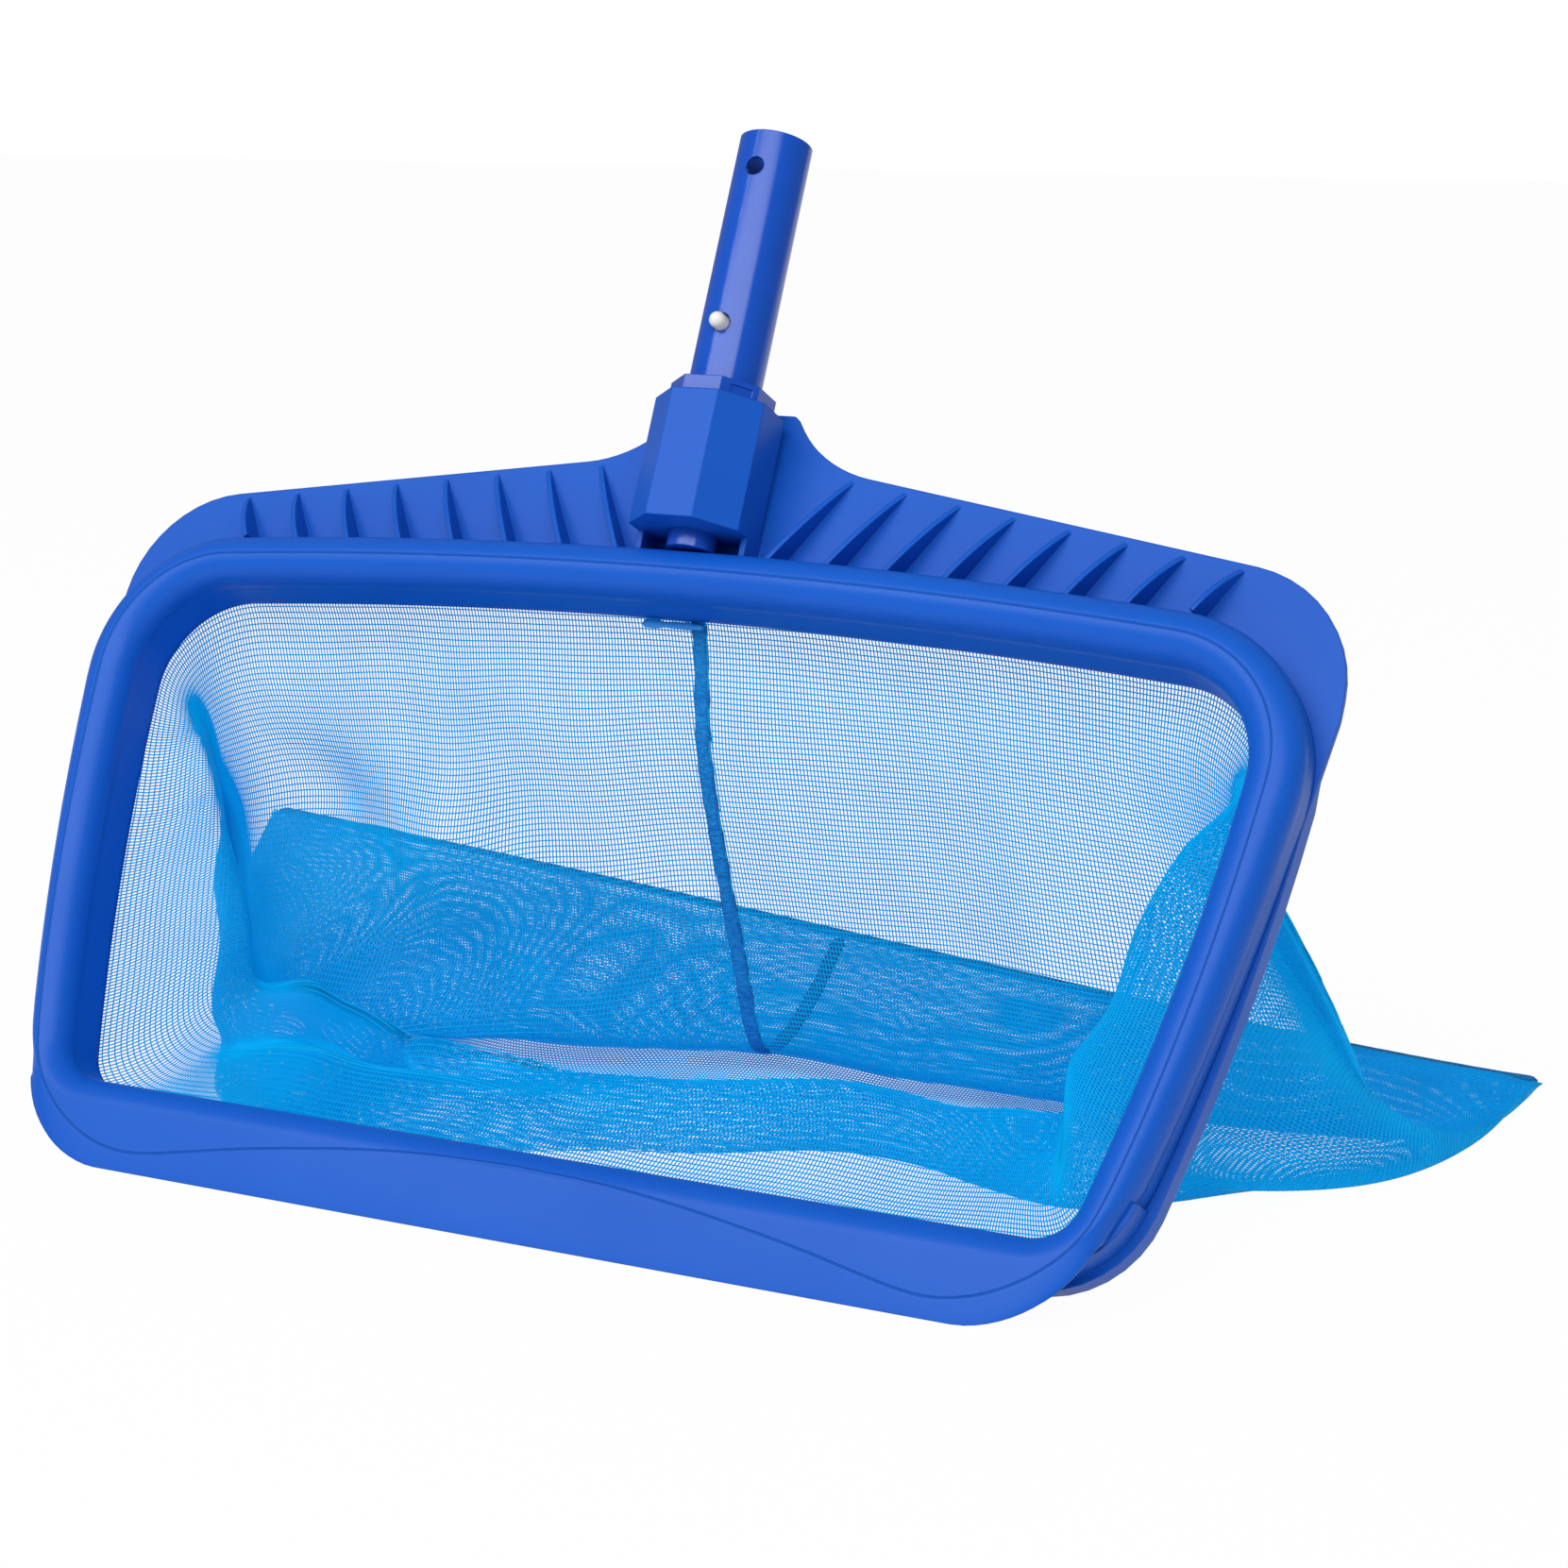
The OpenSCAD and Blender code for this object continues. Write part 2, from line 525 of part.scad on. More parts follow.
module net_bag() {
    grid = concat([for (j = [0 : rows], k = [0 : mouth_n - 1]) outer_point(k, j / rows)],
                  [for (j = [0 : rows], k = [0 : mouth_n - 1]) inner_point(k, j / rows)]);
    inner0 = (rows + 1) * mouth_n;
    function at(j, k) = j * mouth_n + k % mouth_n;
    skin = [for (j = [0 : rows - 1], k = [0 : mouth_n - 1])
            each [[at(j, k), at(j, k + 1), at(j + 1, k + 1)], [at(j, k), at(j + 1, k + 1), at(j + 1, k)]]];
    lining = [for (f = skin) [f[2] + inner0, f[1] + inner0, f[0] + inner0]];
    ends = [for (k = [0 : mouth_n - 1]) each [
            [at(0, k), at(0, k) + inner0, at(0, k + 1)],
            [at(0, k + 1), at(0, k) + inner0, at(0, k + 1) + inner0],
            [at(rows, k), at(rows, k + 1), at(rows, k) + inner0],
            [at(rows, k + 1), at(rows, k + 1) + inner0, at(rows, k) + inner0]]];
    color("deepskyblue") placed() polyhedron(grid, concat(skin, lining, ends));
}

// Overlocked seam along the middle of the bag's upper side, lying on it
module centre_seam() {
    rest_gap = 0.5;
    thick = 0.9;
    reach = 0.05;
    pts = [for (j = [1 : rows - 1])
           let (s = j / rows, t = unit(outer_point(0, s + reach) - outer_point(0, s - reach)),
                up = unit([0, -t.z, t.y]))
           for (c = [[-1, 0], [1, 0], [1, 1], [-1, 1]])
           outer_point(0, s) + [c.x * overlock_w / 2, 0, 0] + up * (rest_gap + c.y * thick)];
    last = len(pts) - 4;
    sides = [for (a = [0 : 4 : last - 4], c = [0 : 3]) let (d = (c + 1) % 4)
             each [[a + c, a + c + 4, a + d + 4], [a + c, a + d + 4, a + d]]];
    far_end = [[last + 2, last + 1, last], [last + 3, last + 2, last]];
    color("deepskyblue") placed() polyhedron(pts, concat(sides, [[0, 1, 2], [0, 2, 3]], far_end));
}

// Overlocked seam that closes the bag's rear edge
module rear_seam() {
    steps = 24;
    grid = [for (j = [0 : steps]) let (p = seam_at(j / steps)) for (c = [[0, -1], [1, -1], [1, 1], [0, 1]])
            p + [0, 0.1 + c.x * overlock_w, c.y * seam_h / 2]];
    sides = [for (j = [0 : steps - 1], c = [0 : 3]) let (a = 4 * j + c, b = 4 * j + (c + 1) % 4)
             each [[a, b + 4, a + 4], [a, b, b + 4]]];
    last = 4 * steps;
    far_end = [[last, last + 1, last + 2], [last, last + 2, last + 3]];
    color("deepskyblue") placed() polyhedron(grid, concat(sides, [[2, 1, 0], [3, 2, 0]], far_end));
}

front_frame();
rear_frame();
frame_screws();
handle();
clip_bend();
clip_arm_front();
clip_arm_rear();
net_hem();
net_bag();
centre_seam();
rear_seam();
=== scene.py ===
import bpy
import math
import numpy as np
from mathutils import Matrix, Vector


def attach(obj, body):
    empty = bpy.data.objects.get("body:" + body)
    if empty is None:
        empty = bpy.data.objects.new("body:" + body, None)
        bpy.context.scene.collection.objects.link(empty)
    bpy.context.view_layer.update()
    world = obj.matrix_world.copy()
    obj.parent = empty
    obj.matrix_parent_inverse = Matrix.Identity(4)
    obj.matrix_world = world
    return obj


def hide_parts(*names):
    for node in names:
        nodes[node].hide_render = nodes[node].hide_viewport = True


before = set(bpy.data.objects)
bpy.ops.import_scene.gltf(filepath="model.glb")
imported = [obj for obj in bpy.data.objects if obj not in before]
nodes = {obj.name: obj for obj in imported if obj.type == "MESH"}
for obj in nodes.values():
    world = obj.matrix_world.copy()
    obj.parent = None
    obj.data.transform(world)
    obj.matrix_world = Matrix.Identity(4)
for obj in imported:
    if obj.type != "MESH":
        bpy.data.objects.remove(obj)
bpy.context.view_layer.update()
mm = 0.001
print("stage 1: frame loaded,", len(nodes), "nodes")


def linear(hexColour):
    # each sRGB channel, 0 to 1, is undone from its gamma curve; alpha is 1
    c = np.array([int(hexColour[i:i + 2], 16) for i in (1, 3, 5)]) / 255
    return (*np.where(c <= 0.04045, c / 12.92, ((c + 0.055) / 1.055) ** 2.4), 1.0)


def addNode(tree, kind, settings=None, links=None):
    # one node; a setting or a link is named by its socket's name or number, and a link comes from
    # another node's output
    node = tree.nodes.new(kind)
    for key, value in (settings or {}).items():
        if isinstance(key, str) and hasattr(node, key):
            setattr(node, key, value)
        else:
            node.inputs[key].default_value = value
    for key, (source, output) in (links or {}).items():
        tree.links.new(source.outputs[output], node.inputs[key])
    return node


def newMaterial(name):
    # an empty node tree, ready for one finish
    material = bpy.data.materials.new(name)
    material.use_nodes = True
    material.node_tree.nodes.clear()
    return material, material.node_tree


def setMaterial(piece, material):
    # one finish in every slot of a piece
    if piece.data.materials:
        for i in range(len(piece.data.materials)):
            piece.data.materials[i] = material
    else:
        piece.data.materials.append(material)


def smoothStep(a, b, x):
    # 0 below a, 1 above b, with a cubic ease between them
    t = np.clip((x - a) / (b - a), 0, 1)
    return t * t * (3 - 2 * t)


def between(a, b, share):
    # a where the share is 0 and b where it is 1
    return a * (1 - share) + b * share


def unit(vectors):
    # each vector divided by its own length
    return vectors / np.maximum(np.linalg.norm(vectors, axis=-1, keepdims=True), 1e-9)


def runAlong(points):
    # the sum of the steps so far, down a line of points or down each column of a grid
    step = np.linalg.norm(np.diff(points, axis=0), axis=-1)
    return np.concatenate([np.zeros_like(step[:1]), np.cumsum(step, axis=0)])


def hermite(a, b, slopeA, slopeB, t):
    # the cubic that leaves a and reaches b with the given slopes, as t goes from 0 to 1
    return (a * (2 * t ** 3 - 3 * t ** 2 + 1) + slopeA * (t ** 3 - 2 * t ** 2 + t)
            + b * (3 * t ** 2 - 2 * t ** 3) + slopeB * (t ** 3 - t ** 2))


def squared(wave, power):
    # a sine or cosine squared off: its sign times its size to a power below 1
    return np.sign(wave) * np.abs(wave) ** power


def quadPiece(name, points, quads):
    # a smooth piece from its points in metres and four point numbers for each face
    mesh = bpy.data.meshes.new(name)
    mesh.vertices.add(len(points))
    mesh.vertices.foreach_set("co", points.reshape(-1).astype(np.float32))
    mesh.loops.add(quads.size)
    mesh.loops.foreach_set("vertex_index", quads.reshape(-1).astype(np.int32))
    mesh.polygons.add(len(quads))
    mesh.polygons.foreach_set("loop_start", np.arange(0, quads.size, 4, dtype=np.int32))
    mesh.polygons.foreach_set("loop_total", np.full(len(quads), 4, dtype=np.int32))
    mesh.update(calc_edges=True)
    mesh.polygons.foreach_set("use_smooth", np.ones(len(quads), bool))
    piece = bpy.data.objects.new(name, mesh)
    bpy.context.scene.collection.objects.link(piece)
    return piece


def surface(name, points, closedU=False, closedV=False, uv=None, values=None):
    # a grid of points, rows by columns, in metres, joined by quads; uv is stored per corner and
    # values per point
    rows, cols = points.shape[:2]
    r = np.arange(rows if closedU else rows - 1)
    c = np.arange(cols if closedV else cols - 1)
    r, c = (a.ravel() for a in np.meshgrid(r, c, indexing="ij"))
    r1, c1 = (r + 1) % rows, (c + 1) % cols
    quads = np.stack([r * cols + c, r1 * cols + c, r1 * cols + c1, r * cols + c1], axis=1)
    piece = quadPiece(name, points.reshape(-1, 3), quads)
    if uv is not None:
        # the map has its own last row and column, so a closed surface has no jump in it
        layer = piece.data.uv_layers.new(name="cloth")
        row, col = np.stack([r, r + 1, r + 1, r], 1), np.stack([c, c, c + 1, c + 1], 1)
        layer.data.foreach_set("uv", uv[row, col].reshape(-1).astype(np.float32))
    for key, field in (values or {}).items():
        attribute = piece.data.attributes.new(key, "FLOAT", "POINT")
        attribute.data.foreach_set("value", field.reshape(-1).astype(np.float32))
    return piece


# the camera: its place in metres, its line of sight, its lens and sensor in mm, and how far it
# sees in metres
view = {"place": (0.59163, -1.1133, 0.4122), "forward": (-0.4259, 0.8767, -0.2236),
        "lens": 73.93, "sensor": 36, "farthest": 50}

forward = Vector(view["forward"]).normalized()
right = forward.cross(Vector((0, 0, 1))).normalized()
up = right.cross(forward)
camera = bpy.data.objects.new("camera", bpy.data.cameras.new("camera"))
camera.data.lens = view["lens"]
camera.data.sensor_width = view["sensor"]
camera.data.clip_end = view["farthest"]
bpy.context.scene.collection.objects.link(camera)
turned = Matrix((right, up, -forward)).transposed().to_4x4()
camera.matrix_world = Matrix.Translation(view["place"]) @ turned
bpy.context.scene.camera = camera


# the outlines that the pieces share, in mm and degrees, x across and v up the leaning frame
ring = {
    "lean": 32.3, "middleX": 29.731, "edgeY": -192.5,
    "openingTop": 251.0, "topBow": 2320.0, "sideBow": 950.0, "sideCentre": (-713.132, 277.186),
    "cornerTop": (196.511, 205.025), "cornerTopR": 37.5,
    "cornerLow": (192.211, 51.7), "cornerLowR": 17.0,
    "rim": 20.5, "lowCentre": (189.85, 61.0), "lowR": 42.0,
    "topAngle": 85.061, "shoulderAngle": -4.53573, "heelIn": -13.9856, "heelOut": -13.464,
    "stations": (40, 26, 30, 30, 40),  # along the top, upper corner, side, lower corner, base
}
leanSin, leanCos = math.sin(math.radians(ring["lean"])), math.cos(math.radians(ring["lean"]))
middleShift = np.array([ring["middleX"], ring["edgeY"], 0.0])
sideEnd = sum(ring["stations"][:3])  # the first station of the lower corner


def upright(x, v, d):
    # a point x across, v up the frame's plane and d behind it, turned up by the lean, in mm
    return np.stack([x, v * leanSin + d * leanCos, v * leanCos - d * leanSin], -1)


def arc(centre, radius, start, end, count):
    # points and outward directions along a circle, from one angle to the next, without the last
    a = np.radians(np.linspace(start, end, count, endpoint=False))
    out = np.stack([np.cos(a), np.sin(a)], axis=1)
    return np.array(centre) + radius * out, out


def halfOutline(grow, lowCentre, lowR, heel):
    # top arc, upper corner, side arc, lower corner and straight base, each met tangentially
    top = (0.0, ring["openingTop"] - ring["topBow"])
    corner = ring["cornerTopR"] + grow
    n = ring["stations"]
    parts = [arc(top, ring["topBow"] + grow, 90, ring["topAngle"], n[0]),
             arc(ring["cornerTop"], corner, ring["topAngle"], ring["shoulderAngle"], n[1]),
             arc(ring["sideCentre"], ring["sideBow"] + grow, ring["shoulderAngle"], heel, n[2]),
             arc(lowCentre, lowR, heel, -90, n[3])]
    x = np.linspace(lowCentre[0], 0, n[4])
    base = np.stack([x, np.full_like(x, lowCentre[1] - lowR)], 1)
    parts.append((base, np.tile([0.0, -1.0], (n[4], 1))))
    return np.concatenate([p[0] for p in parts]), np.concatenate([p[1] for p in parts])


def wholeOutline(points, out):
    # the right half, then its mirror image back up the left side
    flip = np.array([-1.0, 1.0])
    return tuple(np.concatenate([half, (half * flip)[-2:0:-1]]) for half in (points, out))


innerHalf = halfOutline(0.0, ring["cornerLow"], ring["cornerLowR"], ring["heelIn"])
outerHalf = halfOutline(ring["rim"], ring["lowCentre"], ring["lowR"], ring["heelOut"])


# the front frame is one moulded shell that turns from a rolled rim into the flat lip
shell = {
    "rollIn": 10.0, "rollOut": 10.5, "wall": 2.4, "frontDepth": 21.0, "innerDepth": 28.3,
    "skirtV": 28.0, "skirtRise": 31.6, "leastSkirt": 0.4, "lipThick": 3.0, "lipEdge": 1.2,
    "lipRise": 0.5, "lipHollow": 1.3, "lipBlend": 26, "lipCentre": (171.5, 50.0),
    "narrowing": 3.7, "narrowFrom": 195, "narrowOver": 135, "narrowPower": 0.8,
    "cornerEase": 6.0, "easeRounds": 14, "easeStep": 1.4,
    "innerSteps": 7, "rollSteps": 22, "insideEvery": 3,
    "groove": [(228.4, 90.0), (225.3, 75.0), (221.9, 61.0), (219.0, 50.0), (215.0, 39.0),
               (209.0, 30.0), (200.5, 21.8), (188.0, 14.0), (176.0, 9.7), (164.0, 8.2),
               (152.0, 9.3), (140.0, 11.6), (117.0, 16.2), (93.0, 20.2), (70.0, 23.5),
               (40.0, 26.5), (0.0, 28.0)],
    "grooveSteps": 900, "grooveJoin": 4, "grooveParts": 12,
}


def lipOutline():
    # the rim narrows a little down its sides, then come a straight bend, the lip's round corner
    # and its straight edge; the bend is eased by moving points towards their neighbours' middle
    n = ring["stations"]
    side = outerHalf[0][:sideEnd].copy()
    fall = np.clip((shell["narrowFrom"] - side[:, 1]) / shell["narrowOver"], 0, 1)
    side[:, 0] -= shell["narrowing"] * fall ** shell["narrowPower"]
    centre = np.array(shell["lipCentre"])
    corner = arc(centre, centre[1], ring["heelOut"], -90, n[3] - n[3] // 2 + 1)[0]
    bend = between(side[-1], corner[0], np.linspace(0, 1, n[3] // 2 + 1)[1:, None])
    x = np.linspace(centre[0], 0, n[4])
    eased = np.concatenate([side, bend, corner[1:], np.stack([x, np.zeros_like(x)], 1)])
    fromBend = np.arange(len(eased)) - sideEnd - n[3] // 4
    share = np.exp(-(fromBend / shell["cornerEase"]) ** 2)[:, None]
    for _ in range(shell["easeRounds"]):
        middle = (eased[:-2] + eased[2:]) / 2
        eased[1:-1] += (middle - eased[1:-1]) * np.minimum(1, shell["easeStep"] * share[1:-1])
    run = np.gradient(eased, axis=0)
    out = unit(np.stack([-run[:, 1], run[:, 0]], 1))
    out[0], out[-1] = (0, 1), (0, -1)
    return eased, out


def grooveGap(p):
    # how far a point is outside the groove: its distance from the smooth line down the rim's
    # crest and over the lip, above 0 on the line's outer side
    crest = (innerHalf[0] + shell["rollIn"] * innerHalf[1])[:sideEnd]
    crest = crest[crest[:, 1] > shell["groove"][0][1] + shell["grooveJoin"]]
    knots = np.concatenate([crest, np.array(shell["groove"])])
    run = runAlong(knots)
    slope = np.gradient(knots, run, axis=0)
    at = np.linspace(0, run[-1], shell["grooveSteps"])
    i = np.clip(np.searchsorted(run, at, side="right") - 1, 0, len(run) - 2)
    step = (run[i + 1] - run[i])[:, None]
    t = (at - run[i])[:, None] / step
    line = hermite(knots[i], knots[i + 1], slope[i] * step, slope[i + 1] * step, t)
    spots = np.stack([np.abs(p[..., 0]), p[..., 1]], -1)[:, :, None]
    a, ab = line[:-1], np.diff(line, axis=0)
    gap = np.empty(p.shape[:2])
    for rows in np.array_split(np.arange(len(p)), shell["grooveParts"]):  # a part at a time
        off = spots[rows] - a
        along = np.clip((off * ab).sum(-1) / (ab ** 2).sum(-1), 0, 1)
        away = np.linalg.norm(off - along[..., None] * ab, axis=-1)
        near = away.argmin(-1)[..., None]
        turn = ab[:, 0] * off[..., 1] - ab[:, 1] * off[..., 0]
        sign = np.sign(np.take_along_axis(turn, near, -1)[..., 0])
        gap[rows] = np.take_along_axis(away, near, -1)[..., 0] * sign
    return gap


def frontFrame():
    # the wall's section is carried round the opening, station by station: up the inner wall, over
    # two quarter turns of the roll, down the skirt, and back along the hollow underside. From the
    # side to the base the skirt and the roll sink into the lip's thickness
    inn, innOut = innerHalf
    edge, edgeOut = lipOutline()
    share = smoothStep(0, shell["lipBlend"], np.arange(len(inn)) - sideEnd)[:, None]
    w, rollIn = shell["wall"], shell["rollIn"]
    crest = inn + rollIn * innOut
    inset = edge - w * edgeOut
    rollZ = between(shell["rollOut"], shell["lipRise"], share)
    skirt = (edge[:, 1:] - shell["skirtV"]) / math.tan(math.radians(shell["skirtRise"]))
    skirt = np.maximum(rollZ + shell["leastSkirt"], np.minimum(shell["frontDepth"], skirt))
    low = between(skirt, shell["lipEdge"], share)
    under0 = between(w, shell["lipThick"], share)
    under1 = between(shell["rollOut"], shell["lipHollow"], share)
    q = np.radians(np.linspace(0, 90, shell["rollSteps"]))
    section = []

    def add(place, depth):
        # one line of the section, at its depth behind the frame's plane
        section.append(np.concatenate([place, np.broadcast_to(depth, (len(place), 1))], axis=1))
    for d in np.linspace(shell["innerDepth"], rollIn, shell["innerSteps"] + 1)[:-1]:
        add(inn, d)
    for a in q[:-1]:
        add(inn + rollIn * (1 - math.cos(a)) * innOut, rollIn * (1 - math.sin(a)))
    for a in q:
        add(crest + (edge - crest) * math.sin(a), rollZ * (1 - math.cos(a)))
    for f in (0.25, 0.5, 0.75, 1.0):
        add(edge, between(rollZ, low, f))
    add(inset, low)
    for a in q[::-shell["insideEvery"]]:
        add(crest + (inset - crest) * math.sin(a), under0 + (under1 - under0) * (1 - math.cos(a)))
    for a in q[::-shell["insideEvery"]]:
        inside = w + (rollIn - w) * (1 - math.cos(a))
        add(inn + inside * innOut, rollIn - (rollIn - w) * math.sin(a))
    add(inn + w * innOut, shell["innerDepth"])
    grid = np.stack(section, axis=1)
    mirror = grid[-2:0:-1] * np.array([-1.0, 1.0, 1.0])
    grid = np.concatenate([grid, mirror])
    # the lip's edge is flat on the ground
    v = np.maximum(grid[..., 1], grid[..., 2] * leanSin / leanCos)
    points = (upright(grid[..., 0], v, grid[..., 2]) + middleShift) * mm
    onFront = np.zeros(grid.shape[:2])
    onFront[:, shell["innerSteps"]:shell["innerSteps"] + 2 * shell["rollSteps"] - 1] = 1.0
    return surface("frontShell", points, closedU=True, closedV=True,
                   values={"grooveGap": grooveGap(grid[..., :2]), "onFront": onFront})


def framePlastic():
    # polypropylene, injection moulded with a fine satin spark finish: even blue, soft wide gloss,
    # faint flow clouds, and a fine line in the face: a groove with a small bead beside it. The
    # spark is drawn coarser than the real one, so that it shows
    look = {"base": "#105cc6", "cloud": "#0e54bc", "cloudMm": 70, "sparkMm": 0.35,
            "sparkDeepMm": 0.02, "spark": 0.5, "rough": (0.33, 0.46), "ior": 1.49, "gloss": 0.2,
            "lineReachMm": 1.5, "lineDeepMm": 0.8,
            "line": ((0.30, 0.5), (0.40, 0.5), (0.47, 0.12), (0.56, 0.5), (0.62, 0.72),
                     (0.70, 0.5))}
    material, t = newMaterial("polypropyleneSatinBlue")
    place = addNode(t, "ShaderNodeTexCoord")
    cloud = addNode(t, "ShaderNodeTexNoise", {"Scale": 1000 / look["cloudMm"], "Detail": 3.0},
                    {"Vector": (place, "Object")})
    tones = {"data_type": "RGBA", 6: linear(look["base"]), 7: linear(look["cloud"])}
    colour = addNode(t, "ShaderNodeMix", tones, {0: (cloud, 0)})
    grain = addNode(t, "ShaderNodeTexNoise", {"Scale": 1000 / look["sparkMm"], "Detail": 2.0},
                    {"Vector": (place, "Object")})
    rough = addNode(t, "ShaderNodeMapRange",
                    {"To Min": look["rough"][0], "To Max": look["rough"][1]}, {"Value": (cloud, 0)})
    gap = addNode(t, "ShaderNodeAttribute", {"attribute_name": "grooveGap"})
    front = addNode(t, "ShaderNodeAttribute", {"attribute_name": "onFront"})
    ramp = addNode(t, "ShaderNodeMapRange",
                   {"From Min": -look["lineReachMm"], "From Max": look["lineReachMm"]},
                   {"Value": (gap, "Fac")})
    line = addNode(t, "ShaderNodeFloatCurve", {}, {"Value": (ramp, 0)})
    curve = line.mapping.curves[0]
    for x, y in look["line"]:
        curve.points.new(x, y)
    curve.points[0].location, curve.points[-1].location = (0, 0.5), (1, 0.5)
    line.mapping.update()
    height = addNode(t, "ShaderNodeMath", {"operation": "MULTIPLY"},
                     {0: (line, 0), 1: (front, "Fac")})
    bump = addNode(t, "ShaderNodeBump", {"Distance": look["lineDeepMm"] * mm, "Strength": 1.0},
                   {"Height": (height, 0)})
    fine = addNode(t, "ShaderNodeBump",
                   {"Distance": look["sparkDeepMm"] * mm, "Strength": look["spark"]},
                   {"Height": (grain, 0), "Normal": (bump, 0)})
    shader = addNode(t, "ShaderNodeBsdfPrincipled",
                     {"IOR": look["ior"], "Specular IOR Level": look["gloss"]},
                     {"Base Color": (colour, 2), "Roughness": (rough, 0), "Normal": (fine, 0)})
    addNode(t, "ShaderNodeOutputMaterial", {}, {"Surface": (shader, 0)})
    return material


def edgePlastic():
    # the same polypropylene where its moulded edges show: a small radius catches the light
    look = {"base": "#105ac4", "cloud": "#0c52b8", "cloudMm": 60, "sparkMm": 0.35,
            "sparkDeepMm": 0.02, "spark": 0.5, "rough": 0.42, "ior": 1.49, "gloss": 0.2,
            "edgeMm": 0.9}
    material, t = newMaterial("polypropyleneSatinBlueEdged")
    place = addNode(t, "ShaderNodeTexCoord")
    cloud = addNode(t, "ShaderNodeTexNoise", {"Scale": 1000 / look["cloudMm"], "Detail": 3.0},
                    {"Vector": (place, "Object")})
    tones = {"data_type": "RGBA", 6: linear(look["base"]), 7: linear(look["cloud"])}
    colour = addNode(t, "ShaderNodeMix", tones, {0: (cloud, 0)})
    grain = addNode(t, "ShaderNodeTexNoise", {"Scale": 1000 / look["sparkMm"], "Detail": 2.0},
                    {"Vector": (place, "Object")})
    edge = addNode(t, "ShaderNodeBevel", {"samples": 6, "Radius": look["edgeMm"] * mm})
    fine = addNode(t, "ShaderNodeBump",
                   {"Distance": look["sparkDeepMm"] * mm, "Strength": look["spark"]},
                   {"Height": (grain, 0), "Normal": (edge, 0)})
    shader = addNode(t, "ShaderNodeBsdfPrincipled",
                     {"IOR": look["ior"], "Specular IOR Level": look["gloss"],
                      "Roughness": look["rough"]},
                     {"Base Color": (colour, 2), "Normal": (fine, 0)})
    addNode(t, "ShaderNodeOutputMaterial", {}, {"Surface": (shader, 0)})
    return material


def tubePlastic():
    # ABS tube from a polished mould: deep blue with sharp, window-like highlights
    look = {"base": "#0f52c2", "wave": "#0d48ae", "waveMm": 30, "rough": (0.14, 0.20),
            "ior": 1.53, "gloss": 0.32, "edgeMm": 0.5}
    material, t = newMaterial("absGlossBlue")
    place = addNode(t, "ShaderNodeTexCoord")
    wave = addNode(t, "ShaderNodeTexNoise", {"Scale": 1000 / look["waveMm"], "Detail": 2.0},
                   {"Vector": (place, "Object")})
    tones = {"data_type": "RGBA", 6: linear(look["base"]), 7: linear(look["wave"])}
    colour = addNode(t, "ShaderNodeMix", tones, {0: (wave, 0)})
    rough = addNode(t, "ShaderNodeMapRange",
                    {"To Min": look["rough"][0], "To Max": look["rough"][1]}, {"Value": (wave, 0)})
    edge = addNode(t, "ShaderNodeBevel", {"samples": 6, "Radius": look["edgeMm"] * mm})
    shader = addNode(t, "ShaderNodeBsdfPrincipled",
                     {"IOR": look["ior"], "Specular IOR Level": look["gloss"]},
                     {"Base Color": (colour, 2), "Roughness": (rough, 0), "Normal": (edge, 0)})
    addNode(t, "ShaderNodeOutputMaterial", {}, {"Surface": (shader, 0)})
    return material


def clipPlastic():
    # acetal, moulded: milky white and slightly waxy
    look = {"base": "#ece9e4", "cloud": "#dcd9d6", "cloudMm": 5.5556, "rough": 0.32, "ior": 1.48,
            "milky": 0.1, "milkyMm": 1.0, "edgeMm": 0.5}
    material, t = newMaterial("acetalWhite")
    place = addNode(t, "ShaderNodeTexCoord")
    cloud = addNode(t, "ShaderNodeTexNoise", {"Scale": 1000 / look["cloudMm"]},
                    {"Vector": (place, "Object")})
    tones = {"data_type": "RGBA", 6: linear(look["base"]), 7: linear(look["cloud"])}
    colour = addNode(t, "ShaderNodeMix", tones, {0: (cloud, 0)})
    edge = addNode(t, "ShaderNodeBevel", {"samples": 6, "Radius": look["edgeMm"] * mm})
    shader = addNode(t, "ShaderNodeBsdfPrincipled",
                     {"IOR": look["ior"], "Roughness": look["rough"],
                      "Subsurface Weight": look["milky"],
                      "Subsurface Scale": look["milkyMm"] * mm},
                     {"Base Color": (colour, 2), "Normal": (edge, 0)})
    addNode(t, "ShaderNodeOutputMaterial", {}, {"Surface": (shader, 0)})
    return material


def screwSteel():
    # stainless steel, turned and passivated: grey, with fine changes in how it shines
    look = {"base": "#b9bcc0", "scratchMm": 1.1111, "rough": (0.25, 0.42)}
    material, t = newMaterial("stainlessSteelTurned")
    place = addNode(t, "ShaderNodeTexCoord")
    scratch = addNode(t, "ShaderNodeTexNoise", {"Scale": 1000 / look["scratchMm"]},
                      {"Vector": (place, "Object")})
    rough = addNode(t, "ShaderNodeMapRange",
                    {"To Min": look["rough"][0], "To Max": look["rough"][1]},
                    {"Value": (scratch, 0)})
    shader = addNode(t, "ShaderNodeBsdfPrincipled",
                     {"Base Color": linear(look["base"]), "Metallic": 1.0},
                     {"Roughness": (rough, 0)})
    addNode(t, "ShaderNodeOutputMaterial", {}, {"Surface": (shader, 0)})
    return material


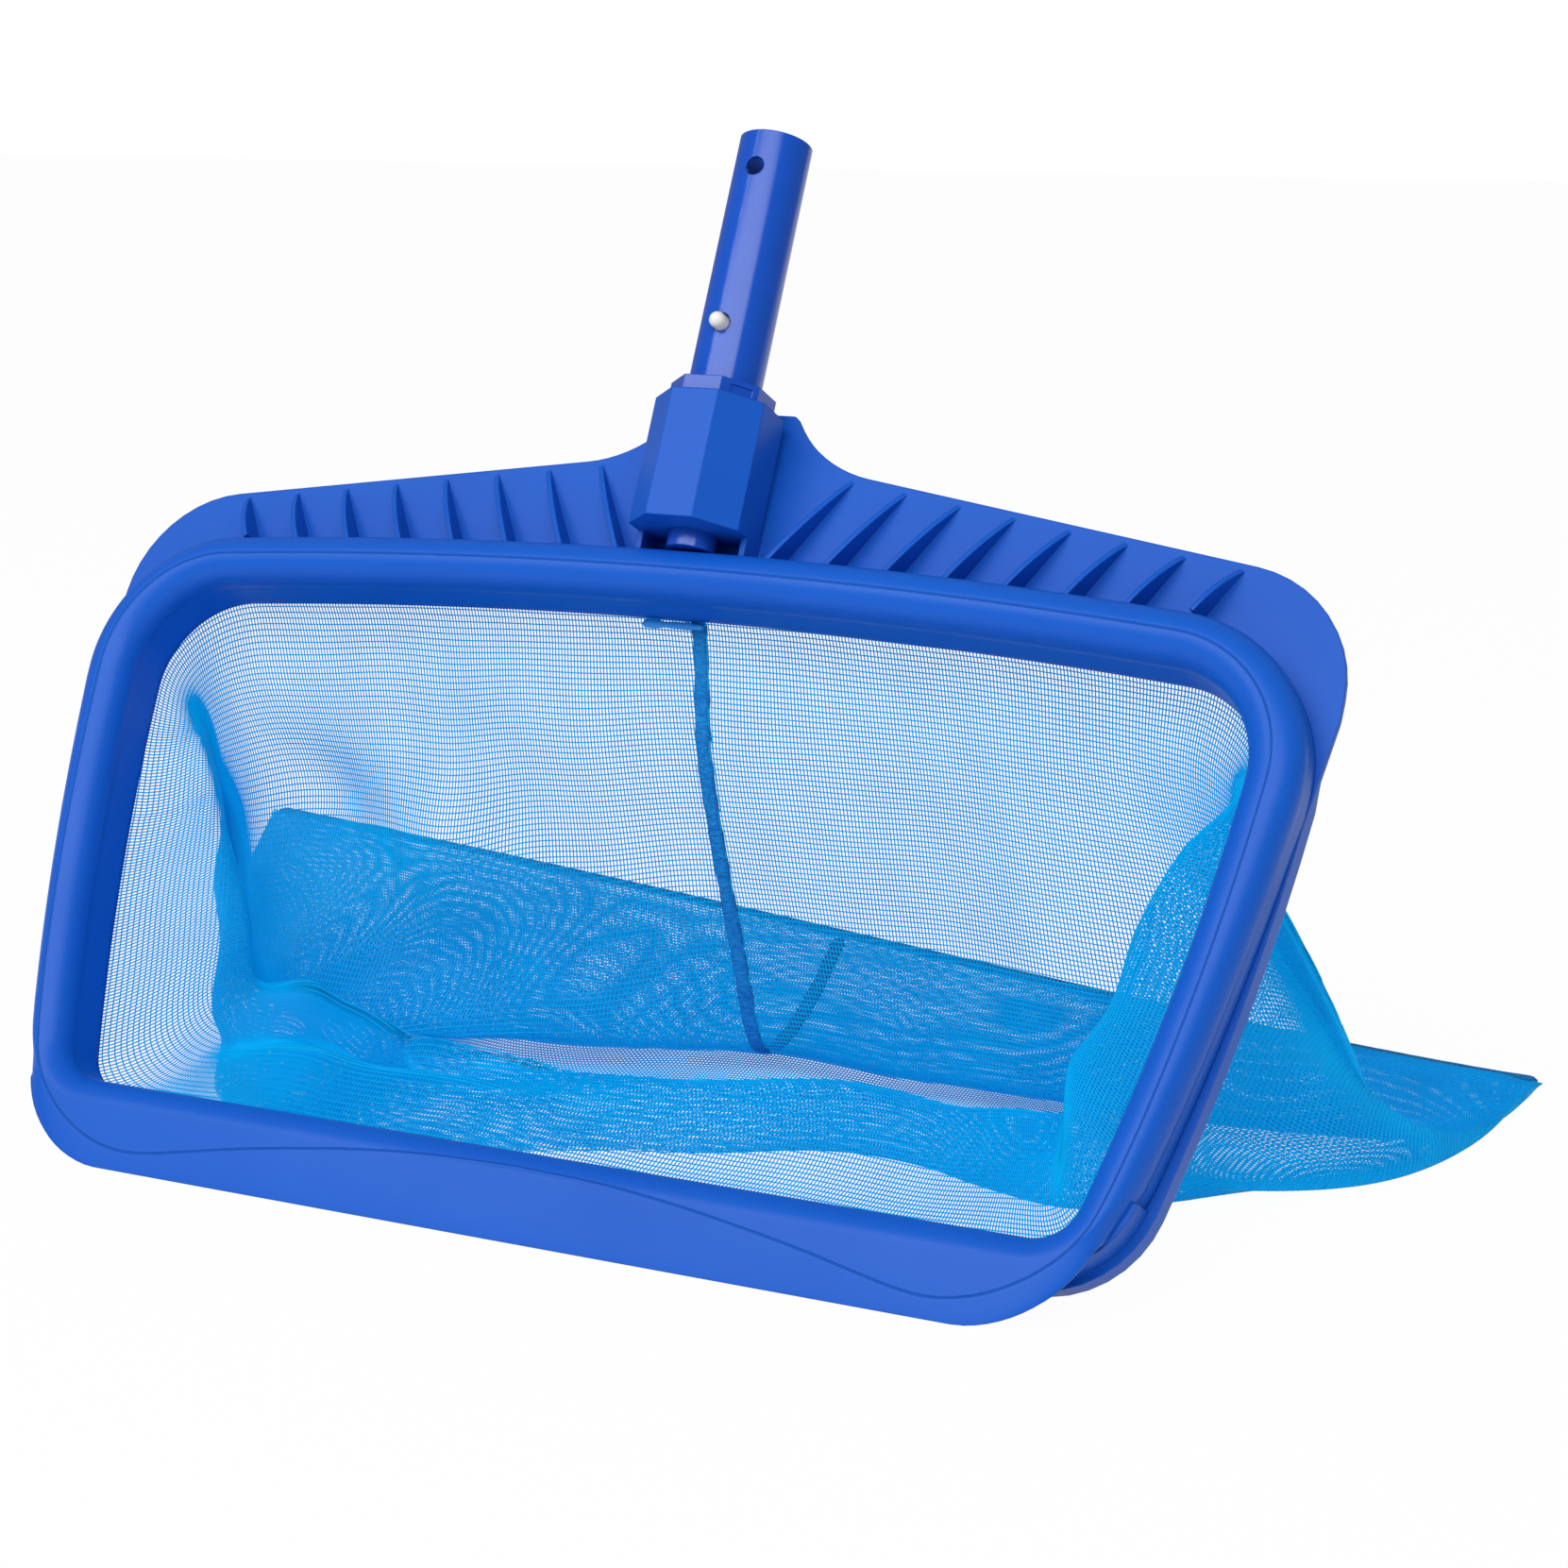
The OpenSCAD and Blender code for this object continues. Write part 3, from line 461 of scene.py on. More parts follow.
def threadPlastic():
    # polyethylene thread, drawn round: smooth, slightly shiny and clear enough to let some light
    # through; a weak emission in its own colour is a painted glow that lifts its shaded parts
    look = {"thread": "#00ccfb", "shade": "#00b6ee", "shadeMm": 24, "rough": 0.4, "ior": 1.52,
            "gloss": 0.22, "through": 0.4, "paintedGlow": 0.11}
    material, t = newMaterial("polyethyleneThreadBlue")
    place = addNode(t, "ShaderNodeTexCoord")
    tone = addNode(t, "ShaderNodeTexNoise", {"Scale": 1000 / look["shadeMm"], "Detail": 3.0},
                   {"Vector": (place, "Object")})
    tones = {"data_type": "RGBA", 6: linear(look["thread"]), 7: linear(look["shade"])}
    colour = addNode(t, "ShaderNodeMix", tones, {0: (tone, 0)})
    plastic = addNode(t, "ShaderNodeBsdfPrincipled",
                      {"IOR": look["ior"], "Roughness": look["rough"],
                       "Specular IOR Level": look["gloss"]}, {"Base Color": (colour, 2)})
    glow = addNode(t, "ShaderNodeBsdfTranslucent", {}, {"Color": (colour, 2)})
    body = addNode(t, "ShaderNodeMixShader", {0: look["through"]}, {1: (plastic, 0), 2: (glow, 0)})
    # painted glow: the thread emits a little light in its own colour, which brightens it in shade
    paintedGlowShader = addNode(t, "ShaderNodeEmission", {"Strength": look["paintedGlow"]}, {"Color": (colour, 2)})
    lit = addNode(t, "ShaderNodeAddShader", {}, {0: (body, 0), 1: (paintedGlowShader, 0)})
    addNode(t, "ShaderNodeOutputMaterial", {}, {"Surface": (lit, 0)})
    return material


def hemFabric():
    # polyethylene netting, folded over itself and clamped flat: matt, nearly closed, grained by
    # its threads
    look = {"low": "#1183dc", "high": "#2a9df0", "grainMm": 2.0, "reliefMm": 0.3, "relief": 0.6,
            "rough": 0.55}
    material, t = newMaterial("polyethyleneHemBlue")
    place = addNode(t, "ShaderNodeTexCoord")
    tone = addNode(t, "ShaderNodeTexNoise", {"Scale": 1000 / look["grainMm"], "Detail": 2.0},
                   {"Vector": (place, "Object")})
    tones = {"data_type": "RGBA", 6: linear(look["low"]), 7: linear(look["high"])}
    colour = addNode(t, "ShaderNodeMix", tones, {0: (tone, 0)})
    bump = addNode(t, "ShaderNodeBump",
                   {"Distance": look["reliefMm"] * mm, "Strength": look["relief"]},
                   {"Height": (tone, 0)})
    shader = addNode(t, "ShaderNodeBsdfPrincipled", {"Roughness": look["rough"]},
                     {"Base Color": (colour, 2), "Normal": (bump, 0)})
    addNode(t, "ShaderNodeOutputMaterial", {}, {"Surface": (shader, 0)})
    return material


def overlockYarn():
    # texturised polyester yarn, overlocked: fuzzy and matt, crossed by slanting loose stitches.
    # Its map is in mm along and across the seam
    look = {"low": "#0a74d0", "high": "#28a4ee", "stitchMm": 1.3333, "slant": 35, "stretch": 0.6,
            "loose": 1.2, "fuzzMm": 0.3125, "contrast": (0.35, 0.65), "reliefMm": 1.2,
            "relief": 0.9, "rough": 0.85, "gloss": 0.2}
    material, t = newMaterial("polyesterOverlockYarn")
    uv = addNode(t, "ShaderNodeUVMap", {"uv_map": "cloth"})
    slant = addNode(t, "ShaderNodeMapping",
                    {"Rotation": (0, 0, math.radians(look["slant"])),
                     "Scale": (1.0, look["stretch"], 1.0)}, {0: (uv, 0)})
    loops = addNode(t, "ShaderNodeTexNoise",
                    {"Scale": 1 / look["stitchMm"], "Detail": 4.0, "Roughness": 0.65,
                     "Distortion": look["loose"]}, {"Vector": (slant, 0)})
    fuzz = addNode(t, "ShaderNodeTexNoise", {"Scale": 1 / look["fuzzMm"], "Detail": 4.0},
                   {"Vector": (uv, 0)})
    tone = addNode(t, "ShaderNodeMapRange",
                   {"From Min": look["contrast"][0], "From Max": look["contrast"][1]},
                   {"Value": (loops, 0)})
    tones = {"data_type": "RGBA", 6: linear(look["low"]), 7: linear(look["high"])}
    colour = addNode(t, "ShaderNodeMix", tones, {0: (tone, 0)})
    both = addNode(t, "ShaderNodeMath", {"operation": "ADD"}, {0: (loops, 0), 1: (fuzz, 0)})
    bump = addNode(t, "ShaderNodeBump",
                   {"Distance": look["reliefMm"] * mm, "Strength": look["relief"]},
                   {"Height": (both, 0)})
    shader = addNode(t, "ShaderNodeBsdfPrincipled",
                     {"Roughness": look["rough"], "Specular IOR Level": look["gloss"]},
                     {"Base Color": (colour, 2), "Normal": (bump, 0)})
    addNode(t, "ShaderNodeOutputMaterial", {}, {"Surface": (shader, 0)})
    return material


edged, gloss, white, steel = edgePlastic(), tubePlastic(), clipPlastic(), screwSteel()
thread, yarn, hemCloth = threadPlastic(), overlockYarn(), hemFabric()
for name, material in (("rear_frame", edged), ("handle", gloss), ("clip_bend", white),
                       ("clip_arm_front", white), ("clip_arm_rear", white),
                       ("frame_screws", steel)):
    setMaterial(nodes[name], material)
print("stage 2: materials ready")

frontShell = frontFrame()
setMaterial(frontShell, framePlastic())
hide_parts("front_frame")
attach(frontShell, "net")
print("stage 3: front frame shell", len(frontShell.data.polygons), "faces")


# the bag's shape, in mm: a tube of netting from the clamped hem to the rear seam
bag = {
    "around": 1284.0, "deep": 400.0, "steps": 480, "rows": 150,
    "mouthGrow": 3.9, "startDepth": 24.0, "clampDepth": 32.0,
    "seamRight": (294.0, 336.0), "seamLeft": (-353.462, 379.0), "seamLeftZ": 38.0,
    "seamGap": 0.5, "seamClose": 0.06, "netThick": 0.8,
    "groundGap": 0.3, "groundSoft": 0.8, "layerGap": 1.6, "layerEase": 20,
    "wrinkle": 3.2, "stillMouth": 6, "stillSeam": 5, "flatter": 0.6, "flatFrom": (0.4, 0.65),
}

# how the cloth is led, thread by thread: at each run round the mouth, from 0 at the top's middle
# to 1 at the base's middle, come the seven places in mm that pull the thread on its way to the
# rear seam
lead = {
    "right": [
        (0.000, [(0, 165, 158), (1, 171, 125), (3, 179, 86), (5, 187, 50),
                 (6, 193, 20), (8, 208, 3), (-18, 315, 12)]),
        (0.184, [(119, 164, 158), (120, 170, 125), (122, 178, 86), (124, 188, 50),
                 (125, 194, 16), (126, 208, 2), (100, 310, 6)]),
        (0.360, [(214, 152, 160), (220, 158, 136), (236, 172, 96), (250, 184, 56),
                 (256, 196, 18), (258, 226, 1), (228, 305, 3)]),
        (0.440, [(206, 138, 138), (198, 148, 132), (216, 164, 108), (246, 178, 66),
                 (268, 198, 16), (281, 250, 3.5), (279, 300, 3)]),
        (0.500, [(202, 116, 106), (190, 128, 112), (198, 140, 96), (230, 164, 64),
                 (272, 196, 16), (292, 250, 5), (293, 300, 3)]),
        (0.560, [(198, 98, 78), (188, 116, 86), (188, 130, 68), (216, 150, 26),
                 (258, 166, 2), (288, 228, 1), (284, 298, 0.6)]),
        (0.623, [(190, 78, 50), (178, 98, 64), (172, 118, 62), (190, 128, 22),
                 (228, 140, 0.5), (264, 205, 0.5), (244, 290, 0.5)]),
        (0.690, [(184, 60, 20), (180, 80, 34), (174, 98, 42), (166, 114, 44),
                 (171, 114, 4), (177, 112, -2), (184, 240, 0.4)]),
        (0.840, [(110, 58, 13), (110, 80, 27), (110, 100, 37), (108, 118, 38),
                 (106, 126, 6), (103, 128, -3), (92, 235, 0.4)]),
        (1.000, [(0, 58, 13), (0, 78, 24), (0, 96, 31), (-1, 110, 33),
                 (-2, 106, 0), (-4, 98, -3), (-16, 235, 0.4)]),
    ],
    "left": [
        (0.090, [(-60, 165, 158), (-60, 172, 122), (-60, 180, 84), (-62, 178, 52),
                 (-64, 160, 24), (-70, 186, 1), (-84, 316, 13)]),
        (0.184, [(-118, 165, 158), (-118, 174, 124), (-118, 156, 90), (-118, 172, 60),
                 (-120, 182, 38), (-124, 112, 4), (-138, 300, 16)]),
        (0.270, [(-172, 162, 158), (-172, 172, 130), (-172, 188, 102), (-172, 164, 72),
                 (-172, 136, 34), (-182, 136, 4), (-204, 322, 22)]),
        (0.360, [(-226, 156, 156), (-224, 168, 130), (-222, 174, 104), (-214, 164, 70),
                 (-198, 138, 34), (-214, 176, 8), (-264, 333, 28)]),
        (0.440, [(-224, 136, 136), (-222, 142, 138), (-228, 158, 116), (-240, 184, 84),
                 (-264, 226, 54), (-296, 288, 34), (-316, 340, 34)]),
        (0.500, [(-212, 118, 108), (-208, 128, 118), (-212, 144, 104), (-228, 160, 78),
                 (-254, 190, 58), (-300, 275, 34), (-335, 340, 33)]),
        (0.560, [(-200, 104, 86), (-192, 116, 94), (-196, 132, 82), (-214, 144, 58),
                 (-238, 168, 36), (-274, 252, 14), (-302, 330, 26)]),
        (0.623, [(-190, 86, 56), (-180, 104, 68), (-182, 120, 58), (-198, 124, 30),
                 (-224, 142, 8), (-246, 210, 4), (-268, 325, 20)]),
        (0.690, [(-184, 62, 16), (-180, 80, 26), (-168, 100, 32), (-152, 124, 58),
                 (-164, 98, 8), (-186, 54, -2), (-218, 290, 6)]),
        (0.760, [(-148, 60, 13), (-146, 86, 34), (-142, 98, 16), (-134, 128, 50),
                 (-140, 92, 0), (-152, 44, -3), (-166, 270, 4)]),
        (0.840, [(-112, 58, 13), (-110, 88, 36), (-108, 98, 8), (-104, 128, 44),
                 (-106, 92, -4), (-114, 42, -3), (-126, 250, 2)]),
        (0.920, [(-58, 58, 13), (-56, 86, 36), (-56, 98, 14), (-54, 124, 40),
                 (-54, 94, -4), (-60, 50, -3), (-72, 240, 1)]),
    ],
}


def evenly(points, count):
    # a closed line again, with points an even run apart, and the run at each
    ends = np.concatenate([points, points[:1]])
    run = runAlong(ends)
    at = np.linspace(0, run[-1], count + 1)
    return np.stack([np.interp(at, run, ends[:, i]) for i in range(ends.shape[1])], 1), at


def seamAt(t):
    # the rear seam, straight from its raised left tip down to the ground at its right one
    h = 2 * bag["netThick"] + bag["seamGap"]
    x = bag["seamLeft"][0] + (bag["seamRight"][0] - bag["seamLeft"][0]) * t
    y = bag["seamLeft"][1] + (bag["seamRight"][1] - bag["seamLeft"][1]) * t
    z = bag["groundGap"] + h / 2 + bag["seamLeftZ"] * (1 - t) ** 0.9 * (1 - t ** 3)
    return np.stack([x, y, z], -1)


def roundCurve(keys, values, at):
    # a closed curve through values at keys, period 2, whose slope at each key is that of the
    # line between its two neighbours
    k = np.concatenate([keys[-2:] - 2, keys, keys[:2] + 2])
    v = np.concatenate([values[-2:], values, values[:2]])
    slope = (v[2:] - v[:-2]) / (k[2:] - k[:-2])[:, None, None]
    i = np.clip(np.searchsorted(k, at, side="right") - 1, 1, len(k) - 3)
    step = (k[i + 1] - k[i])[:, None, None]
    t = ((at - k[i])[:, None, None]) / step
    return hermite(v[i], v[i + 1], slope[i - 1] * step, slope[i] * step, t)


def splineWeights(count, at):
    # how much each of count points pulls a clamped cubic B-spline at each place, by the
    # Cox-de Boor rule
    knots = np.concatenate([[0] * 3, np.linspace(0, 1, count - 2), [1] * 3])
    w = ((at[:, None] >= knots[:-1]) & (at[:, None] < knots[1:])).astype(float)
    w[at >= 1, count - 1] = 1.0
    for d in (1, 2, 3):
        n = w.shape[1] - 1
        first, last = knots[:n], knots[d + 1:d + 1 + n]
        left, right = knots[d:d + n] - first, last - knots[1:n + 1]
        none = np.zeros((len(at), n))
        a = np.divide(at[:, None] - first, left, out=none.copy(), where=left > 0)
        b = np.divide(last - at[:, None], right, out=none.copy(), where=right > 0)
        w = a * w[:, :-1] + b * w[:, 1:]
    return w


def facing(p, joined=True):
    # outward direction of the cloth at each grid point: the way along its threads crossed with
    # the way round the mouth, which a joined grid shares at its first and last column
    along, across = np.gradient(p, axis=0), np.gradient(p, axis=1)
    if joined:
        across[:, 0] = across[:, -1] = (across[:, 0] + across[:, -1]) / 2
    return unit(np.cross(along, across))


def dragLines(u, v):
    # long soft waves in the cloth: a sum of four sines of the place u round the mouth and v down
    # the thread, in mm, the first and the last bent by a slower sine
    return (np.sin(u / 31 + 1.3 * np.sin(v / 70) + 0.5) * 0.5
            + np.sin(u / 17.5 - v / 55 + 2.0) * 0.3 + np.sin(u / 47 + v / 38) * 0.45
            + np.sin(u / 11 + v / 90 + 1.2 * np.sin(u / 60)) * 0.12)


def bagSurface():
    # threads run from mouth to seam as cubic B-splines, and the places that pull them change
    # smoothly round the mouth; then come the waves, the ground under the cloth and even rows
    whole, out = wholeOutline(*innerHalf)
    line, run = evenly(whole + bag["mouthGrow"] * out, bag["steps"])
    run = run * bag["around"] / run[-1]
    half = np.minimum(run, run[-1] - run) / (run[-1] / 2)
    side = np.where(run <= run[-1] / 2, 1.0, -1.0)
    share = side * (1 - np.abs(1 - 2 * half))
    upper = np.where(half < 0.5, 1.0, -1.0)
    mouth, clamp = (upright(line[:, 0], line[:, 1], np.full(len(line), bag[depth]))
                    for depth in ("startDepth", "clampDepth"))
    seamHalf = bag["netThick"] + bag["seamGap"] / 2
    end = seamAt((1 + share) / 2)
    end[:, 2] += upper * seamHalf * smoothStep(0, bag["seamClose"], 1 - np.abs(share))
    left = lead["left"][::-1]
    keys = np.array([k for k, _ in lead["right"]] + [2 - k for k, _ in left])
    places = np.array([p for _, p in lead["right"] + left], float)
    led = roundCurve(keys, places, run / run[-1] * 2)
    pulls = np.concatenate([mouth[None], clamp[None], led.transpose(1, 0, 2), end[None]])
    w = splineWeights(len(pulls), np.linspace(0, 1, bag["rows"]))
    p = np.tensordot(w, pulls, axes=(1, 0))
    length = runAlong(p)
    s = length / length[-1]
    still = np.clip(s * bag["stillMouth"], 0, 1) * np.clip((1 - s) * bag["stillSeam"], 0, 1)
    lying = 1 - bag["flatter"] * smoothStep(*bag["flatFrom"], s)  # flatter where the cloth lies
    lift = bag["wrinkle"] * dragLines(run[None, :], length) * still * lying
    p = p + facing(p, joined=False) * lift[..., None]
    # the upper layer lies on the lower one, and both meet the ground softly
    layer = np.where(upper > 0, bag["layerGap"], 0.0)
    low = bag["groundGap"] + layer * np.minimum(1, bag["layerEase"] * np.abs(half - 0.5))
    soft = bag["groundSoft"]
    p[..., 2] = low + np.logaddexp(0, (p[..., 2] - low) / soft) * soft
    p[0], p[-1] = mouth, end
    # each thread again with its points an even run apart, so that the weft lies evenly
    length = runAlong(p)
    even = np.linspace(0, 1, bag["rows"])
    p = np.stack([np.stack([np.interp(even * length[-1, i], length[:, i], p[:, i, k])
                            for k in range(3)], -1) for i in range(p.shape[1])], 1)
    print("  thread length", length[-1].min().round(), "to", length[-1].max().round(), "mm")
    return p


# the threads, in mm: their pitch and thickness, the points along each, and how far they stray. A
# thread has three sides; 1.21 gives it the girth of a round one. The warp lies over the weft
net = {"warpMm": 1.38, "weftMm": 2.5, "warpThick": 0.54, "weftThick": 0.50, "warpSteps": 64,
       "weftSteps": 190, "wander": 0.16, "threeSided": 1.21, "over": 0.3}


def sampled(field, run, s):
    # the surface's field between its own grid points, linear both ways
    i = np.clip(run / bag["around"] * bag["steps"], 0, bag["steps"] - 1e-6)
    j = np.clip(s * (bag["rows"] - 1), 0, bag["rows"] - 1 - 1e-6)
    i0, j0 = i.astype(int), j.astype(int)
    a, b = (i - i0)[..., None], (j - j0)[..., None]
    low = between(field[j0, i0], field[j0, i0 + 1], a)
    high = between(field[j0 + 1, i0], field[j0 + 1, i0 + 1], a)
    return between(low, high, b)


def threads(name, middle, normal, thick):
    # open three-sided tubes: at each point of a thread the corners are its middle
    # + r (cos a sideways + sin a normal)
    count, points = middle.shape[:2]
    along = unit(np.gradient(middle, axis=1))
    sideways = unit(np.cross(along, normal))
    normal = np.cross(sideways, along)
    a = np.radians([90, 210, 330])[:, None]
    out = np.cos(a) * sideways[:, :, None] + np.sin(a) * normal[:, :, None]
    corners = middle[:, :, None] + thick / 2 * net["threeSided"] * out
    corners[..., 2] = np.maximum(corners[..., 2], bag["groundGap"])
    ids = np.arange(count * points * 3).reshape(count, points, 3)
    turned = np.roll(ids, -1, axis=2)
    quads = np.stack([ids[:, :-1], ids[:, 1:], turned[:, 1:], turned[:, :-1]], -1).reshape(-1, 4)
    piece = quadPiece(name, ((corners + middleShift) * mm).reshape(-1, 3), quads)
    setMaterial(piece, thread)
    return piece


def netPieces(p, normal):
    # warp from mouth to seam and weft round it, at the net's pitch, each straying a little by a
    # sum of sines; each half of the bag by itself
    quarter = bag["around"] / 4
    pieces = {}
    for name, start in (("upper", -quarter), ("lower", quarter)):
        end = start + 2 * quarter
        count = int(round((end - start) / net["warpMm"]))
        u = start + (np.arange(count) + 0.5) * (end - start) / count
        u, s = np.meshgrid(u, np.linspace(0, 1, net["warpSteps"]), indexing="ij")
        u = u + net["wander"] * (np.sin(u / 9.7 + s * 7) + np.sin(u / 3.9 - s * 11 + 1)
                                 + np.sin(s * 26 + u / 21)) / 2
        u = np.mod(u, bag["around"])
        middle, out = sampled(p, u, s), sampled(normal, u, s)
        middle = middle + out * net["warpThick"] * net["over"]
        warp = threads(name + "Warp", middle, out, net["warpThick"])
        rounds = int(bag["deep"] / net["weftMm"])
        s = (np.arange(rounds) + 0.5) / rounds
        s, u = np.meshgrid(s, np.linspace(start, end, net["weftSteps"]), indexing="ij")
        s = s + net["wander"] / bag["deep"] * (np.sin(s * 40 + u / 13) + np.sin(s * 90 - u / 31))
        u = np.mod(u, bag["around"])
        middle, out = sampled(p, u, s), sampled(normal, u, s)
        middle = middle - out * net["weftThick"] * net["over"]
        weft = threads(name + "Weft", middle, out, net["weftThick"])
        pieces[name] = (warp, weft)
    return pieces


# the overlocked seams, in mm; the centre seam keeps clear of the bag's first and last rows
seam = {"halfWide": 3.2, "halfThick": 1.3, "waver": 0.18, "rows": slice(2, -3), "sink": 0.3,
        "rearHalfWide": 3.2, "rearHalfThick": 1.2, "rearWaver": 0.108, "rearSteps": 320,
        "rearEnds": (0.004, 0.996), "rearShift": 1.4, "rearAcross": (0.066, 0.998, 0.0)}
# the folded hem between the frames, and the sewn-over end that hangs beside the centre seam
hem = {"from": 10.5, "to": 27.8, "offset": 3.4, "thick": 1.7, "sides": 16, "square": 0.4,
       "tagFrom": -23.0, "tagTo": 3.5, "tagV": 249.3, "tagDepth": 29.6, "tagHalfWide": 1.5,
       "tagHalfThick": 0.7, "tagWaver": 0.25, "tagSteps": 40}


def strip(name, path, across, up, halfWide, halfThick, material, waver):
    # a flat padded strip along a path: its section is a rounded rectangle of 12 points, its width
    # wavers by a sum of three sines, and its ends are rounded off
    a = np.radians(np.arange(12) * 30)
    wide, thick = squared(np.cos(a), 0.5), squared(np.sin(a), 0.8)
    run = runAlong(path)
    sway = waver * (np.sin(run / 2.3) + 0.6 * np.sin(run / 5.1 + 1) + 0.5 * np.sin(run / 1.1 + 2))
    ends = np.minimum(1, np.sqrt(np.minimum(run, run[-1] - run) / halfWide + 0.04))[:, None]
    wide, thick = (halfWide + sway[:, None]) * wide * ends, halfThick * thick * ends
    points = path[:, None] + wide[..., None] * across[:, None] + thick[..., None] * up[:, None]
    points[..., 2] = np.maximum(points[..., 2], bag["groundGap"])
    uv = np.stack(np.broadcast_arrays(run[:, None], np.arange(13)[None, :] * halfWide / 3), -1)
    piece = surface(name, (points + middleShift) * mm, closedV=True, uv=uv)
    setMaterial(piece, material)
    return piece


def seamPieces(p, normal):
    # one seam follows the first thread down the middle of the upper side, one the bag's rear edge
    up = normal[seam["rows"], 0]
    path = p[seam["rows"], 0] - up * seam["sink"]
    across = unit(np.cross(np.gradient(path, axis=0), up))
    centre = strip("centreSeam", path, across, up, seam["halfWide"], seam["halfThick"], yarn,
                   seam["waver"])
    t = np.linspace(*seam["rearEnds"], seam["rearSteps"])
    path = seamAt(t) + np.array([0, seam["rearShift"], 0])
    path[:, 2] = np.maximum(path[:, 2], bag["groundGap"] + seam["rearHalfThick"])
    across, up = (np.tile(way, (len(t), 1)) for way in (seam["rearAcross"], (0.0, 0.0, 1.0)))
    rear = strip("rearSeam", path, across, up, seam["rearHalfWide"], seam["rearHalfThick"], yarn,
                 seam["rearWaver"])
    return centre, rear


def hemPiece():
    # a rounded rectangle carried round the opening, between the front frame's inner wall and the
    # rear frame
    whole, out = wholeOutline(*innerHalf)
    a = np.linspace(0, 2 * math.pi, hem["sides"], endpoint=False)
    wide = squared(np.cos(a), hem["square"]) * hem["thick"] / 2
    deep = squared(np.sin(a), hem["square"]) * (hem["to"] - hem["from"]) / 2
    place = whole[:, None] + out[:, None] * (hem["offset"] + wide)[None, :, None]
    depth = np.broadcast_to((hem["from"] + hem["to"]) / 2 + deep, place.shape[:2])
    points = (upright(place[..., 0], place[..., 1], depth) + middleShift) * mm
    piece = surface("netHem", points, closedU=True, closedV=True)
    setMaterial(piece, hemCloth)
    return piece


def hemTagPiece():
    # a short strip along the top's arc, which hangs a little below the rim
    x = np.linspace(hem["tagFrom"], hem["tagTo"], hem["tagSteps"])
    v = hem["tagV"] - x * x / (2 * ring["topBow"])
    path = upright(x, v, np.full_like(x, hem["tagDepth"]))
    across = np.tile([0.0, leanSin, leanCos], (len(x), 1))
    up = np.tile([0.0, -leanCos, leanSin], (len(x), 1))
    return strip("hemTag", path, across, up, hem["tagHalfWide"], hem["tagHalfThick"], hemCloth,
                 hem["tagWaver"])


bagPoints = bagSurface()
bagNormal = facing(bagPoints)
netParts = netPieces(bagPoints, bagNormal)
centreSeam, rearSeam = seamPieces(bagPoints, bagNormal)
netHem, hemTag = hemPiece(), hemTagPiece()
for warp, weft in netParts.values():
    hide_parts("net_bag")
    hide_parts("net_bag")
    for piece in (warp, weft):
        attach(piece, "net")
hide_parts("centre_seam")
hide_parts("rear_seam")
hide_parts("net_hem")
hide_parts("net_hem")
for piece, slot in ((centreSeam, "seam_yarn"), (rearSeam, "seam_yarn"), (netHem, "net_mesh"),
                    (hemTag, "net_mesh")):
    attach(piece, "net")
threadFaces = sum(len(piece.data.polygons) for pair in netParts.values() for piece in pair)
print("stage 4: net,", threadFaces, "thread faces")


# floor, light and background. Each soft box has its place and the point it faces in metres, its
# width and height in metres, and its watts
studio = {"room": 0.34, "mirror": 0.24, "floor": "#f2f2f2", "floorGlow": 0.97, "floorHalf": 9,
          "keyBox": ((0.1, -1.9, 2.0), (0.0, 0.0, 0.1), (4.0, 1.0), 70),
          "stripBox": ((-1.5, -1.25, 1.7), (0.05, 0.0, 0.3), (0.06, 1.3), 3)}
pureWhite = (1, 1, 1, 1)


